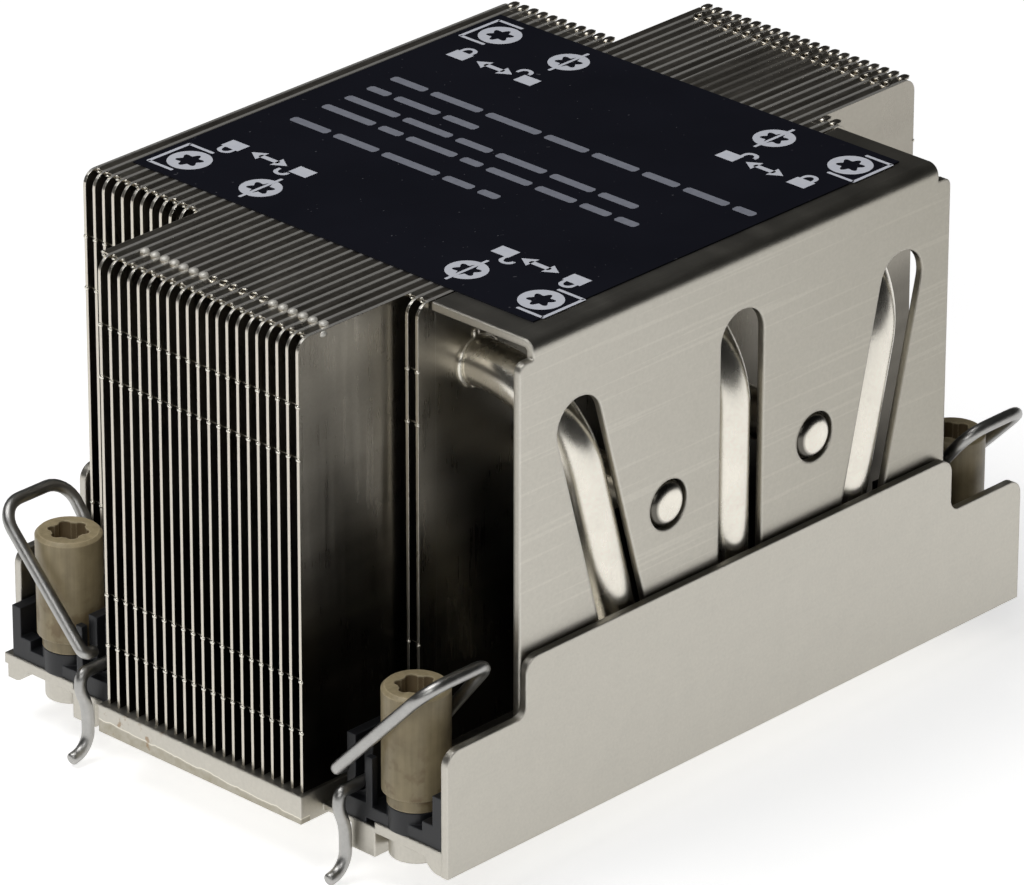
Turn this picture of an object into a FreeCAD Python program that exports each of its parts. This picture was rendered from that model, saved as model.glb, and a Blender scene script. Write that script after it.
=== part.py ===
"""Passive server processor heatsink: fin stack, five heat pipes, slotted cover, cast frame,
captive nuts and wire bails.

Frame: +X runs along the airflow, +Z up, origin at the centre of the contact face under the frame.
The camera side with the slotted cover faces -Y. Lengths are millimetres, angles are degrees.
"""

import math
import os

import FreeCAD
import Part
import Sketcher

Vector = FreeCAD.Vector

SIZES = {
    # Fin stack
    "fin_pitch": 1.62,
    "fin_thickness": 0.4,
    "fin_top": 61.5,
    "fin_corner": 1.8,
    "fin_fold_gap": 0.06,
    "fold_thickness": 0.4,
    "long_fin_steps": 10,
    "cover_side_steps": 12,
    "far_side_steps": 22,
    "bar_ledge": 1.0,
    "block_to_nut": 11.2,
    "solder_gap": 0.02,
    # Cast frame
    "bar_reach": 7.0,
    "bar_margin": 0.8,
    "bar_height": 3.6,
    "frame_clearance": 0.43,
    "cover_clearance": 0.27,
    "centre_reach": 2.2,
    "web_bottom": 0.65,
    "web_top": 2.0,
    "ear_reach": 3.3,
    "ear_block_top": 1.3,
    "ear_block_bottom": -2.55,
    "ear_block_start": 7.4,
    "ear_block_end": 3.6,
    "ear_block_length": 7.0,
    "nut_boss_radius": 3.3,
    "nut_boss_bottom": -1.6,
    "skirt_thickness": 1.0,
    "skirt_reach": 3.4,
    "skirt_bottom": -1.1,
    "skirt_low_top": 15.2,
    "skirt_high_top": 22.5,
    "skirt_corner": 2.0,
    "far_skirt_setback": 2.1,
    "skirt_step": 9.7,
    "skirt_step_foot": 1.5,
    "foot_width": 2.9,
    "foot_toe_width": 1.0,
    "plate_half_length": 32,
    "plate_half_width": 15,
    "plate_thickness": 1.5,
    "plate_gap": 0.05,
    # Slotted cover
    "cover_thickness": 1.0,
    "cover_bend": 1.5,
    "cover_flange_gap": 0.3,
    "cover_flange_inset": 0.9,
    "cover_side_reach": 1.3,
    "cover_corner": 1.2,
    "cover_relief": 2.2,
    "slot_half_width": 3.8,
    "front_slot_inset": 8.6,
    "front_slot_drop": 3.1,
    "middle_slot_place": 0.5,
    "middle_slot_drop": 1.3,
    "rear_slot_inset": 7.2,
    "rear_slot_drop": 3.0,
    "pipe_end_hole_radius": 3.2,
    # Heat pipes
    "pipe_radius": 3.0,
    "pipe_fit": 0.15,
    "pipe_bend": 8.0,
    "pipe_foot_depth": 1.5,
    "pipe_foot_gap": 0.1,
    "bay_pipe_gap": 0.32,
    "bay_pipe_drop": 10.0,
    "bay_pipe_fins": 6,
    "front_pipe_inset": 8.7,
    "middle_pipe_place": 0.9,
    "front_foot_spacing": 14.14,
    "rear_foot_spacing": 16.44,
    "rear_pipe_inset": 6.9,
    "far_hole_steps": 12,
    "far_hole_clearance": 0.56,
    "far_pipe_turned": 1.5,
    "far_pipe_height": 33.1,
    "far_front_offset": -0.8,
    "far_rear_offset": 0.76,
    "far_pipe_stickout": 0.4,
    "pipe_end_dome": 1.6,
    # Label film
    "film_thickness": 0.15,
    "film_gap": 0.02,
    "film_front_inset": 4.8,
    "film_rear_inset": 3.7,
    "film_cover_inset": 3.8,
    "film_far_inset": 2.24,
    # Captive nuts
    "nut_half_length": 47,
    "nut_offset": 2.765,
    "nut_radius": 4.1,
    "nut_top": 20.1,
    "nut_chamfer": 0.4,
    "nut_neck_radius": 3.5,
    "nut_neck_bottom": 5.1,
    "nut_neck_top": 6.8,
    "nut_shank_radius": 2.7,
    "nut_shank_bottom": 0.0,
    "nut_bore_radius": 2.0,
    "nut_bore_depth": 11.0,
    "nut_hole_gap": 0.1,
    "socket_lobe_place": 2.1,
    "socket_lobe_radius": 0.75,
    "socket_core_radius": 2.1,
    "socket_depth": 4.0,
    # Nut clips
    "clip_outside_reach": 3.1,
    "clip_inside_reach": 3.9,
    "clip_floor_gap": 0.02,
    "clip_base_thickness": 1.6,
    "clip_block_width": 4.2,
    "clip_block_top": 11.3,
    "clip_ledge_depth": 1.2,
    "clip_ledge_top": 3.9,
    "clip_collar_radius": 3.5,
    "clip_collar_gap": 0.1,
    "clip_snap_width": 1.5,
    "clip_skirt_gap": 0.3,
    "clip_cheek_width": 1.0,
    "clip_cheek_depth": 0.9,
    "clip_cheek_top": 10.0,
    "clip_peg_width": 1.4,
    "clip_peg_top": 8.8,
    "clip_stop_start": 3.9,
    "clip_stop_depth": 1.9,
    "clip_stop_top": 4.9,
    # Wire bails
    "wire_radius": 0.9,
    "pivot_fit": 0.06,
    "pivot_from_nut": 7.3,
    "pivot_height": 5.4,
    "bail_half_width": 5.4,
    "bail_reach": 13.5,
    "bail_rise": 17.0,
    "bail_stub": 1.9,
    "bail_stub_setback": 0.7,
    "bail_stub_height": 2.7,
    "hook_start": 4.7,
    "hook_shoulder": 5.4,
    "hook_shoulder_drop": 1.9,
    "hook_waist": 4.9,
    "hook_waist_drop": 4.4,
    "hook_toe": 4.6,
    "hook_toe_drop": 8.6,
    "hook_heel_drop": 10.1,
    "hook_tip": 7.6,
    "hook_tip_drop": 10.9,
}

doc = FreeCAD.newDocument("heatsink")
sheet = doc.addObject("Spreadsheet::Sheet", "sizes")
for row, (alias, size) in enumerate(SIZES.items(), start=1):
    cell = "A" + str(row)
    sheet.set(cell, str(size))
    sheet.setAlias(cell, alias)
doc.recompute()


def number(formula):
    """Value of a formula over the sheet's cells."""
    return float(sheet.evalExpression(formula))


# Places worked out from the sheet and shared by mating pieces
STACK_EDGE = "sizes.long_fin_steps * sizes.fin_pitch"
BAR_SIDE = f"({STACK_EDGE} + sizes.bar_margin)"
FRAME_INSIDE = (
    "(sizes.far_side_steps * sizes.fin_pitch + sizes.fin_thickness / 2 + sizes.frame_clearance)"
)
FRAME_SIDE = f"({FRAME_INSIDE} + sizes.skirt_thickness)"
COVER_FACE = f"({FRAME_INSIDE} - sizes.cover_clearance)"
BLOCK_END = "(sizes.nut_half_length - sizes.block_to_nut)"
BAR_END = "(sizes.nut_half_length + sizes.bar_reach)"
LONG_FIN_END = f"({BAR_END} - sizes.bar_ledge)"
FIN_FOOT = "(sizes.bar_height + sizes.solder_gap)"
NUT_SIDE = f"(({STACK_EDGE} + {FRAME_INSIDE}) / 2 + sizes.nut_offset)"
PIVOT_SIDE = f"({NUT_SIDE} - sizes.pivot_from_nut)"
EAR_END = "(sizes.nut_half_length + sizes.ear_reach)"
SKIRT_END = "(sizes.nut_half_length + sizes.skirt_reach)"
PIPE_HOLE = "(sizes.pipe_radius + sizes.pipe_fit)"
BAY_PIPE_SIDE = f"({FRAME_INSIDE} - sizes.pipe_radius - sizes.bay_pipe_gap)"
BAY_PIPE_HEIGHT = "(sizes.fin_top - sizes.bay_pipe_drop)"
FAR_BEND_START = "(sizes.far_hole_steps * sizes.fin_pitch + sizes.far_hole_clearance)"
FAR_PIPE_SIDE = f"({FAR_BEND_START} + sizes.pipe_bend - sizes.far_pipe_turned)"
PIPE_FLOOR = "(sizes.bar_height - sizes.pipe_foot_depth + sizes.pipe_foot_gap)"
PIPE_DROP = f"({BAY_PIPE_HEIGHT} - {PIPE_FLOOR})"
FRONT_PIPE = f"(sizes.front_pipe_inset - {BLOCK_END})"
REAR_PIPE = f"({BLOCK_END} - sizes.rear_pipe_inset)"
FRONT_FOOT = "(sizes.middle_pipe_place - sizes.front_foot_spacing)"
REAR_FOOT = "(sizes.middle_pipe_place + sizes.rear_foot_spacing)"
FRONT_LEAN = f"(atan(({FRONT_FOOT} - {FRONT_PIPE}) / {PIPE_DROP}) / 1 deg)"
REAR_LEAN = f"(atan(({REAR_FOOT} - {REAR_PIPE}) / {PIPE_DROP}) / 1 deg)"
SLOT_PLACES = (
    f"(sizes.front_slot_inset - {BLOCK_END})",
    "sizes.middle_slot_place",
    f"({BLOCK_END} - sizes.rear_slot_inset)",
)
SLOT_HEIGHTS = (
    f"({BAY_PIPE_HEIGHT} - sizes.front_slot_drop)",
    f"({BAY_PIPE_HEIGHT} - sizes.middle_slot_drop)",
    f"({BAY_PIPE_HEIGHT} - sizes.rear_slot_drop)",
)
COVER_FLANGE_START = (
    "(sizes.cover_side_steps * sizes.fin_pitch + sizes.fin_thickness / 2 + sizes.cover_flange_gap)"
)

# Corner order: cover side front, far side front, cover side rear, far side rear
CORNERS = ((-1, -1), (-1, 1), (1, -1), (1, 1))


def new_body(name):
    body = doc.addObject("PartDesign::Body", name)
    body.Label = name
    return body


def new_sketch(body, name, role, lift="0"):
    """Sketch on one of the body's own origin planes, lifted along the plane's normal."""
    sketch = body.newObject("Sketcher::SketchObject", body.Name + "_" + name)
    plane = [item for item in body.Origin.OriginFeatures if item.Role == role][0]
    sketch.AttachmentSupport = (plane, [""])
    sketch.MapMode = "FlatFace"
    sketch.setExpression("AttachmentOffset.Base.z", lift)
    return sketch


def pin(sketch, geometry, point, across, up):
    """Hold one point of a sketch at coordinates given as formulas."""
    for kind, formula in (("DistanceX", across), ("DistanceY", up)):
        place = number(formula)
        index = sketch.addConstraint(Sketcher.Constraint(kind, geometry, point, place))
        sketch.setExpression(f"Constraints[{index}]", formula)


def arc_between(start, end, radius, turn):
    """Arc from start to end; turn is 1 for counter-clockwise and -1 for clockwise."""
    chord = end - start
    middle = (start + end) / 2
    height = math.sqrt(max(radius**2 - (chord.Length / 2) ** 2, 0))
    normal = Vector(-chord.y, chord.x, 0).normalize()
    centre = middle + normal * height * turn
    first = math.atan2(start.y - centre.y, start.x - centre.x)
    last = math.atan2(end.y - centre.y, end.x - centre.x)
    circle = Part.Circle(centre, Vector(0, 0, 1), radius)
    if turn > 0:
        return Part.ArcOfCircle(circle, first, last)
    return Part.ArcOfCircle(circle, last, first)


def add_outline(sketch, points, closed=True):
    """Chain of lines and arcs through points.

    A point is (across, up) or (across, up, radius, turn); the last two make the stretch that
    leaves the point an arc.
    """
    places = [Vector(number(point[0]), number(point[1]), 0) for point in points]
    stretches = len(points) if closed else len(points) - 1
    ends = []
    for index in range(stretches):
        point = points[index]
        start = places[index]
        end = places[(index + 1) % len(points)]
        if len(point) == 2:
            geometry = sketch.addGeometry(Part.LineSegment(start, end), False)
            ends.append((geometry, 1, 2))
            continue
        arc = arc_between(start, end, number(point[2]), point[3])
        geometry = sketch.addGeometry(arc, False)
        radius = sketch.addConstraint(Sketcher.Constraint("Radius", geometry, number(point[2])))
        sketch.setExpression(f"Constraints[{radius}]", point[2])
        ends.append((geometry, 1, 2) if point[3] > 0 else (geometry, 2, 1))
    for index, (geometry, first, last) in enumerate(ends):
        pin(sketch, geometry, first, points[index][0], points[index][1])
        if closed or index + 1 < stretches:
            following = ends[(index + 1) % stretches]
            sketch.addConstraint(
                Sketcher.Constraint("Coincident", geometry, last, following[0], following[1])
            )
        else:
            pin(sketch, geometry, last, points[-1][0], points[-1][1])


def add_rectangle(sketch, left, right, bottom, top):
    """Rectangle; a pair given the other way round only turns its outline's direction."""
    add_outline(sketch, [(left, bottom), (right, bottom), (right, top), (left, top)])


def add_circle(sketch, across, up, radius):
    circle = Part.Circle(Vector(number(across), number(up), 0), Vector(0, 0, 1), number(radius))
    geometry = sketch.addGeometry(circle, False)
    index = sketch.addConstraint(Sketcher.Constraint("Radius", geometry, number(radius)))
    sketch.setExpression(f"Constraints[{index}]", radius)
    pin(sketch, geometry, 3, across, up)


def add_pad(body, sketch, length, backwards=False):
    pad = body.newObject("PartDesign::Pad", sketch.Name + "_pad")
    pad.Profile = sketch
    pad.Reversed = backwards
    pad.setExpression("Length", length)
    sketch.Visibility = False
    doc.recompute()
    return pad


def add_pocket(body, sketch, length, backwards=False):
    """Cut the sketch out of the body, and make sure that it removed material."""
    before = body.Shape.Volume
    pocket = body.newObject("PartDesign::Pocket", sketch.Name + "_pocket")
    pocket.Profile = sketch
    pocket.Reversed = backwards
    pocket.setExpression("Length", length)
    sketch.Visibility = False
    doc.recompute()
    if body.Shape.Volume >= before:
        raise RuntimeError(pocket.Name + " cuts nothing")
    return pocket


BAY_PIPES = (
    ("heat_pipe_1", FRONT_PIPE, FRONT_LEAN),
    ("heat_pipe_2", "sizes.middle_pipe_place", "0"),
    ("heat_pipe_3", REAR_PIPE, REAR_LEAN),
)


def between_slots(outer, lean, offset):
    """Place midway between the middle slot and a leaning one, at the far pipes' height."""
    lowered = f"({SLOT_HEIGHTS[outer]} - sizes.far_pipe_height) * tan({lean} * 1 deg)"
    return f"(({SLOT_PLACES[outer]} + {lowered} + {SLOT_PLACES[1]}) / 2 + {offset})"


FAR_PIPES = (
    ("heat_pipe_4", between_slots(0, FRONT_LEAN, "sizes.far_front_offset")),
    ("heat_pipe_5", between_slots(2, REAR_LEAN, "sizes.far_rear_offset")),
)


def make_fin(name, step, half_length):
    """One fin: a thin plate with a fold along its top that spans to the next fin."""
    body = new_body(name)
    plate = new_sketch(body, "plate", "XZ_Plane")
    corner = "sizes.fin_corner"
    add_outline(
        plate,
        [
            (half_length, FIN_FOOT),
            (half_length, f"sizes.fin_top - {corner}", corner, 1),
            (f"{half_length} - {corner}", "sizes.fin_top"),
            (f"{corner} - {half_length}", "sizes.fin_top", corner, 1),
            (f"-{half_length}", f"sizes.fin_top - {corner}"),
            (f"-{half_length}", FIN_FOOT),
        ],
    )
    add_pad(body, plate, "sizes.fin_thickness", backwards=True)
    if step < number("sizes.far_side_steps"):
        fold = new_sketch(body, "fold", "XZ_Plane")
        add_rectangle(
            fold,
            f"{corner} - {half_length}",
            f"{half_length} - {corner}",
            "sizes.fin_top - sizes.fold_thickness",
            "sizes.fin_top",
        )
        add_pad(body, fold, "sizes.fin_pitch - sizes.fin_fold_gap", backwards=True)
    open_for_pipes(body, step)
    body.setExpression("Placement.Base.y", f"{step} * sizes.fin_pitch - sizes.fin_thickness / 2")
    return body


def open_for_pipes(body, step):
    """Round holes where pipes run through a fin, and slots where the far pipes rise past it."""
    holes = []
    slots = []
    if step <= number("sizes.far_hole_steps"):
        holes += [(across, "sizes.far_pipe_height") for name, across in FAR_PIPES]
    elif number(f"{step} * sizes.fin_pitch") < number(f"{FAR_PIPE_SIDE} + {PIPE_HOLE}"):
        slots += [across for name, across in FAR_PIPES]
    if step < number("sizes.bay_pipe_fins - sizes.cover_side_steps"):
        holes += [(across, BAY_PIPE_HEIGHT) for name, across, lean in BAY_PIPES]
    if not holes and not slots:
        return
    sketch = new_sketch(body, "openings", "XZ_Plane")
    for across, height in holes:
        add_circle(sketch, across, height, PIPE_HOLE)
    for across in slots:
        add_riser_slot(sketch, across)
    add_pocket(body, sketch, "sizes.fin_thickness")


def add_riser_slot(sketch, across):
    """Slot with a round top, open at the fin's foot."""
    add_outline(
        sketch,
        [
            (f"{across} - {PIPE_HOLE}", "sizes.bar_height"),
            (f"{across} + {PIPE_HOLE}", "sizes.bar_height"),
            (f"{across} + {PIPE_HOLE}", "sizes.far_pipe_height", PIPE_HOLE, 1),
            (across, f"sizes.far_pipe_height + {PIPE_HOLE}", PIPE_HOLE, 1),
            (f"{across} - {PIPE_HOLE}", "sizes.far_pipe_height"),
        ],
    )


def make_fins():
    """Fins counted from the cover side; the middle ones are long, the others fill the block."""
    fins = []
    first = -round(number("sizes.cover_side_steps"))
    last = round(number("sizes.far_side_steps"))
    for step in range(first, last + 1):
        long_fin = abs(step) <= number("sizes.long_fin_steps")
        half_length = LONG_FIN_END if long_fin else BLOCK_END
        fins.append(make_fin(f"fin_{step - first + 1:02d}", step, half_length))
    return fins


def make_base_frame():
    """One casting: bar, wide centre, four ears with nut bosses, and the two side skirts."""
    body = new_body("base_casting")
    bar = new_sketch(body, "bar", "XY_Plane")
    add_rectangle(bar, f"-{BAR_END}", BAR_END, f"-{BAR_SIDE}", BAR_SIDE)
    add_pad(body, bar, "sizes.bar_height")

    centre = new_sketch(body, "centre", "XY_Plane", "sizes.web_bottom")
    centre_end = f"({BLOCK_END} + sizes.centre_reach)"
    add_rectangle(centre, f"-{centre_end}", centre_end, f"-{FRAME_SIDE}", FRAME_SIDE)
    add_pad(body, centre, "sizes.bar_height - sizes.web_bottom")

    web = new_sketch(body, "web", "XY_Plane", "sizes.web_bottom")
    block_outside = f"({NUT_SIDE} - sizes.ear_block_end)"
    add_rectangle(web, f"-{EAR_END}", EAR_END, f"-{FRAME_SIDE}", f"-{block_outside}")
    add_rectangle(web, f"-{EAR_END}", EAR_END, block_outside, FRAME_SIDE)
    add_pad(body, web, "sizes.web_top - sizes.web_bottom")

    arm = new_sketch(body, "arm", "XY_Plane", "sizes.web_bottom")
    add_rectangle(arm, f"-{EAR_END}", EAR_END, f"-{block_outside}", block_outside)
    add_pad(body, arm, "sizes.ear_block_top - sizes.web_bottom")

    block = new_sketch(body, "block", "XY_Plane", "sizes.ear_block_bottom")
    for side_x, side_y in CORNERS:
        outer = f"{side_x} * {EAR_END}"
        inner = f"{side_x} * ({EAR_END} - sizes.ear_block_length)"
        near = f"{side_y} * ({NUT_SIDE} - sizes.ear_block_start)"
        far = f"{side_y} * {block_outside}"
        add_outline(block, [(outer, near), (inner, near), (inner, far), (outer, far)])
    add_pad(body, block, "sizes.ear_block_top - sizes.ear_block_bottom")

    boss = new_sketch(body, "boss", "XY_Plane", "sizes.nut_boss_bottom")
    for side_x, side_y in CORNERS:
        axis = f"{side_x} * sizes.nut_half_length"
        add_circle(boss, axis, f"{side_y} * {NUT_SIDE}", "sizes.nut_boss_radius")
    add_pad(body, boss, "sizes.web_bottom - sizes.nut_boss_bottom")

    far_end = f"({SKIRT_END} - sizes.far_skirt_setback)"
    skirts = (("near_skirt", FRAME_INSIDE, SKIRT_END), ("far_skirt", f"-{FRAME_SIDE}", far_end))
    for name, lift, end in skirts:
        skirt = new_sketch(body, name, "XZ_Plane", lift)
        add_outline(skirt, skirt_outline(end))
        add_pad(body, skirt, "sizes.skirt_thickness")

    foot = new_sketch(body, "foot", "YZ_Plane", f"-{EAR_END}")
    for side in (-1, 1):
        inner = f"{side} * ({FRAME_SIDE} - sizes.skirt_thickness - sizes.foot_width)"
        arc_end = f"{side} * ({FRAME_SIDE} - sizes.skirt_thickness - sizes.foot_toe_width)"
        outer = f"{side} * ({FRAME_SIDE} - sizes.skirt_thickness / 2)"
        add_outline(
            foot,
            [
                (inner, "sizes.web_bottom", "sizes.foot_width", side),
                (arc_end, "sizes.skirt_bottom"),
                (outer, "sizes.skirt_bottom"),
                (outer, "sizes.web_bottom"),
            ],
        )
    add_pad(body, foot, f"2 * {EAR_END}")

    bores = new_sketch(body, "bores", "XY_Plane", "sizes.web_top")
    for side_x, side_y in CORNERS:
        add_circle(
            bores,
            f"{side_x} * sizes.nut_half_length",
            f"{side_y} * {NUT_SIDE}",
            "sizes.nut_shank_radius + sizes.nut_hole_gap",
        )
    add_pocket(body, bores, "sizes.web_top - sizes.nut_boss_bottom")

    recess = new_sketch(body, "recess", "XY_Plane")
    length = "(sizes.plate_half_length + sizes.plate_gap)"
    width = "(sizes.plate_half_width + sizes.plate_gap)"
    add_rectangle(recess, f"-{length}", length, f"-{width}", width)
    add_pocket(body, recess, "sizes.plate_thickness + sizes.plate_gap", backwards=True)
    return seat_pipes(body)


def skirt_outline(end):
    """Side skirt: low ends with rounded corners, and a high middle reached by a curved step."""
    corner = "sizes.skirt_corner"
    foot = "sizes.skirt_step_foot"
    step = "(sizes.nut_half_length - sizes.skirt_step)"
    low = "sizes.skirt_low_top"
    high = "sizes.skirt_high_top"
    return [
        (end, "sizes.skirt_bottom"),
        (end, f"{low} - {corner}", corner, 1),
        (f"{end} - {corner}", low),
        (f"{step} + {foot}", low, foot, -1),
        (step, f"{low} + {foot}"),
        (step, f"{high} - {corner}", corner, 1),
        (f"{step} - {corner}", high),
        (f"{corner} - {step}", high, corner, 1),
        (f"-{step}", f"{high} - {corner}"),
        (f"-{step}", f"{low} + {foot}", foot, -1),
        (f"-{step} - {foot}", low),
        (f"{corner} - {end}", low, corner, 1),
        (f"-{end}", f"{low} - {corner}"),
        (f"-{end}", "sizes.skirt_bottom"),
    ]


def rise_length(height, lean):
    """Length of a pipe's rise from its blind hole in the frame to the corner of its path."""
    return f"(({height} - {PIPE_FLOOR}) / cos({lean} * 1 deg))"


def seat_pipes(body):
    """The frame with a blind hole where each pipe's foot goes in."""
    drills = []
    for name, place, lean in BAY_PIPES:
        drills.append(make_drill(name, place, f"-{BAY_PIPE_SIDE}", BAY_PIPE_HEIGHT, lean))
    for name, place in FAR_PIPES:
        drills.append(make_drill(name, place, FAR_PIPE_SIDE, "sizes.far_pipe_height", "0"))
    tool = doc.addObject("Part::MultiFuse", "pipe_feet")
    tool.Shapes = drills
    frame = doc.addObject("Part::Cut", "base_frame")
    frame.Base = body
    frame.Tool = tool
    doc.recompute()
    if frame.Shape.Volume >= body.Shape.Volume:
        raise RuntimeError("the pipe feet cut nothing")
    return frame


def make_drill(name, place, side, height, lean):
    drill = doc.addObject("Part::Cylinder", name + "_drill")
    drill.setExpression("Radius", PIPE_HOLE)
    drill.setExpression("Height", "sizes.bar_height")
    depth = f"({rise_length(height, lean)} + sizes.pipe_foot_gap)"
    drill.setExpression("Placement.Base.x", f"{place} + {depth} * sin({lean} * 1 deg)")
    drill.setExpression("Placement.Base.y", side)
    drill.setExpression("Placement.Base.z", f"{height} - {depth} * cos({lean} * 1 deg)")
    drill.Placement.Rotation = FreeCAD.Rotation(Vector(0, 1, 0), 1)
    drill.setExpression("Placement.Rotation.Angle", f"-{lean}")
    return drill


def make_pipe(name, place, side, height, lean, run, turned, domed):
    """Heat pipe: a straight rise, one bend, and a straight run through the fins."""
    body = new_body(name)
    rise = rise_length(height, lean)
    spine = new_sketch(body, "spine", "YZ_Plane")
    add_outline(
        spine,
        [
            ("0", f"-{rise}"),
            ("0", "-sizes.pipe_bend", "sizes.pipe_bend", -1),
            ("sizes.pipe_bend", "0"),
            (run, "0"),
        ],
        closed=False,
    )
    section = new_sketch(body, "section", "XY_Plane", f"-{rise}")
    add_circle(section, "0", "0", "sizes.pipe_radius")
    doc.recompute()
    pipe = body.newObject("PartDesign::AdditivePipe", name + "_tube")
    pipe.Profile = section
    pipe.Spine = (spine, ["Edge1", "Edge2", "Edge3"])
    doc.recompute()
    if domed:
        dome = body.newObject("PartDesign::Fillet", name + "_dome")
        dome.Base = (pipe, [end_edge(pipe.Shape, number(run))])
        dome.setExpression("Radius", "sizes.pipe_end_dome")
    body.setExpression("Placement.Base.x", place)
    body.setExpression("Placement.Base.y", side)
    body.setExpression("Placement.Base.z", height)
    if turned:
        body.Placement.Rotation = FreeCAD.Rotation(Vector(0, 0, 1), 180)
    else:
        body.Placement.Rotation = FreeCAD.Rotation(Vector(0, 1, 0), 1)
        body.setExpression("Placement.Rotation.Angle", f"-{lean}")
    return body


def end_edge(shape, run):
    """Name of the circular edge at the far end of a pipe's run."""
    for index, edge in enumerate(shape.Edges, start=1):
        box = edge.BoundBox
        if box.YMin > run - number("sizes.fin_pitch") and box.YLength < number("sizes.fin_thickness"):
            return f"Edge{index}"
    raise RuntimeError("the pipe has no end edge")


def make_pipes():
    pipes = []
    last_step = "(sizes.cover_side_steps - sizes.bay_pipe_fins + 0.5)"
    run = f"({BAY_PIPE_SIDE} - {last_step} * sizes.fin_pitch)"
    side = f"-{BAY_PIPE_SIDE}"
    for name, place, lean in BAY_PIPES:
        pipes.append(make_pipe(name, place, side, BAY_PIPE_HEIGHT, lean, run, False, False))
    run = f"({FAR_PIPE_SIDE} + {COVER_FACE} + sizes.far_pipe_stickout)"
    for name, place in FAR_PIPES:
        height = "sizes.far_pipe_height"
        pipes.append(make_pipe(name, place, FAR_PIPE_SIDE, height, "0", run, True, True))
    return pipes


def make_cover():
    """Bent sheet: a flange level with the fins' tops and a slotted side plate."""
    body = new_body("slotted_cover")
    inner_bend = "(sizes.cover_bend - sizes.cover_thickness)"
    flange_end = f"({BLOCK_END} - sizes.cover_flange_inset)"
    bend = new_sketch(body, "bend", "YZ_Plane", f"-{flange_end}")
    foot = "(sizes.fin_top - sizes.cover_relief - sizes.cover_thickness)"
    add_outline(
        bend,
        [
            (f"-{COVER_FLANGE_START}", "sizes.fin_top"),
            (f"sizes.cover_bend - {COVER_FACE}", "sizes.fin_top", "sizes.cover_bend", 1),
            (f"-{COVER_FACE}", "sizes.fin_top - sizes.cover_bend"),
            (f"-{COVER_FACE}", foot),
            (f"sizes.cover_thickness - {COVER_FACE}", foot),
            (
                f"sizes.cover_thickness - {COVER_FACE}",
                "sizes.fin_top - sizes.cover_bend",
                inner_bend,
                -1,
            ),
            (f"sizes.cover_bend - {COVER_FACE}", "sizes.fin_top - sizes.cover_thickness"),
            (f"-{COVER_FLANGE_START}", "sizes.fin_top - sizes.cover_thickness"),
        ],
    )
    add_pad(body, bend, f"2 * {flange_end}")

    side_end = f"({BLOCK_END} + sizes.cover_side_reach)"
    side_top = "(sizes.fin_top - sizes.cover_relief)"
    corner = "sizes.cover_corner"
    side = new_sketch(body, "side", "XZ_Plane", f"{COVER_FACE} - sizes.cover_thickness")
    add_outline(
        side,
        [
            (side_end, FIN_FOOT),
            (side_end, f"{side_top} - {corner}", corner, 1),
            (f"{side_end} - {corner}", side_top),
            (f"{corner} - {side_end}", side_top, corner, 1),
            (f"-{side_end}", f"{side_top} - {corner}"),
            (f"-{side_end}", FIN_FOOT),
        ],
    )
    add_pad(body, side, "sizes.cover_thickness")

    slots = new_sketch(body, "slots", "XZ_Plane", COVER_FACE)
    for place, height, lean in zip(SLOT_PLACES, SLOT_HEIGHTS, (FRONT_LEAN, "0", REAR_LEAN)):
        add_slot(slots, place, height, lean)
    for name, place in FAR_PIPES:
        add_circle(slots, place, "sizes.far_pipe_height", "sizes.pipe_end_hole_radius")
    add_pocket(body, slots, "sizes.cover_thickness")
    return body


def add_slot(sketch, place, height, lean):
    """Slot with a round top, open at the cover's foot so that it passes over a pipe.

    Lean tips its foot towards +X.
    """
    half = "sizes.slot_half_width"
    across = f"({half} * cos({lean} * 1 deg))"
    along = f"({half} * sin({lean} * 1 deg))"
    foot_height = f"({FIN_FOOT} - sizes.cover_thickness)"
    drop = f"({height} - {foot_height})"
    shift = f"({drop} * tan({lean} * 1 deg))"
    foot = f"({half} / cos({lean} * 1 deg))"
    add_outline(
        sketch,
        [
            (f"{place} + {across}", f"{height} + {along}", half, 1),
            (f"{place} - {along}", f"{height} + {across}", half, 1),
            (f"{place} - {across}", f"{height} - {along}"),
            (f"{place} + {shift} - {foot}", foot_height),
            (f"{place} + {shift} + {foot}", foot_height),
        ],
    )


def make_cold_plate():
    """Contact plate let into the frame; its underside is the face that meets the processor."""
    body = new_body("cold_plate")
    sketch = new_sketch(body, "outline", "XY_Plane")
    length = "sizes.plate_half_length"
    width = "sizes.plate_half_width"
    add_rectangle(sketch, f"-{length}", length, f"-{width}", width)
    add_pad(body, sketch, "sizes.plate_thickness")
    return body


def make_label_film():
    body = new_body("label_film")
    sketch = new_sketch(body, "outline", "XY_Plane", "sizes.fin_top + sizes.film_gap")
    front = f"(sizes.film_front_inset - {BLOCK_END})"
    rear = f"({BLOCK_END} - sizes.film_rear_inset)"
    near = f"(sizes.film_cover_inset - {COVER_FACE})"
    far = "(sizes.far_side_steps * sizes.fin_pitch - sizes.film_far_inset)"
    add_rectangle(sketch, front, rear, near, far)
    add_pad(body, sketch, "sizes.film_thickness")
    return body


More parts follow.
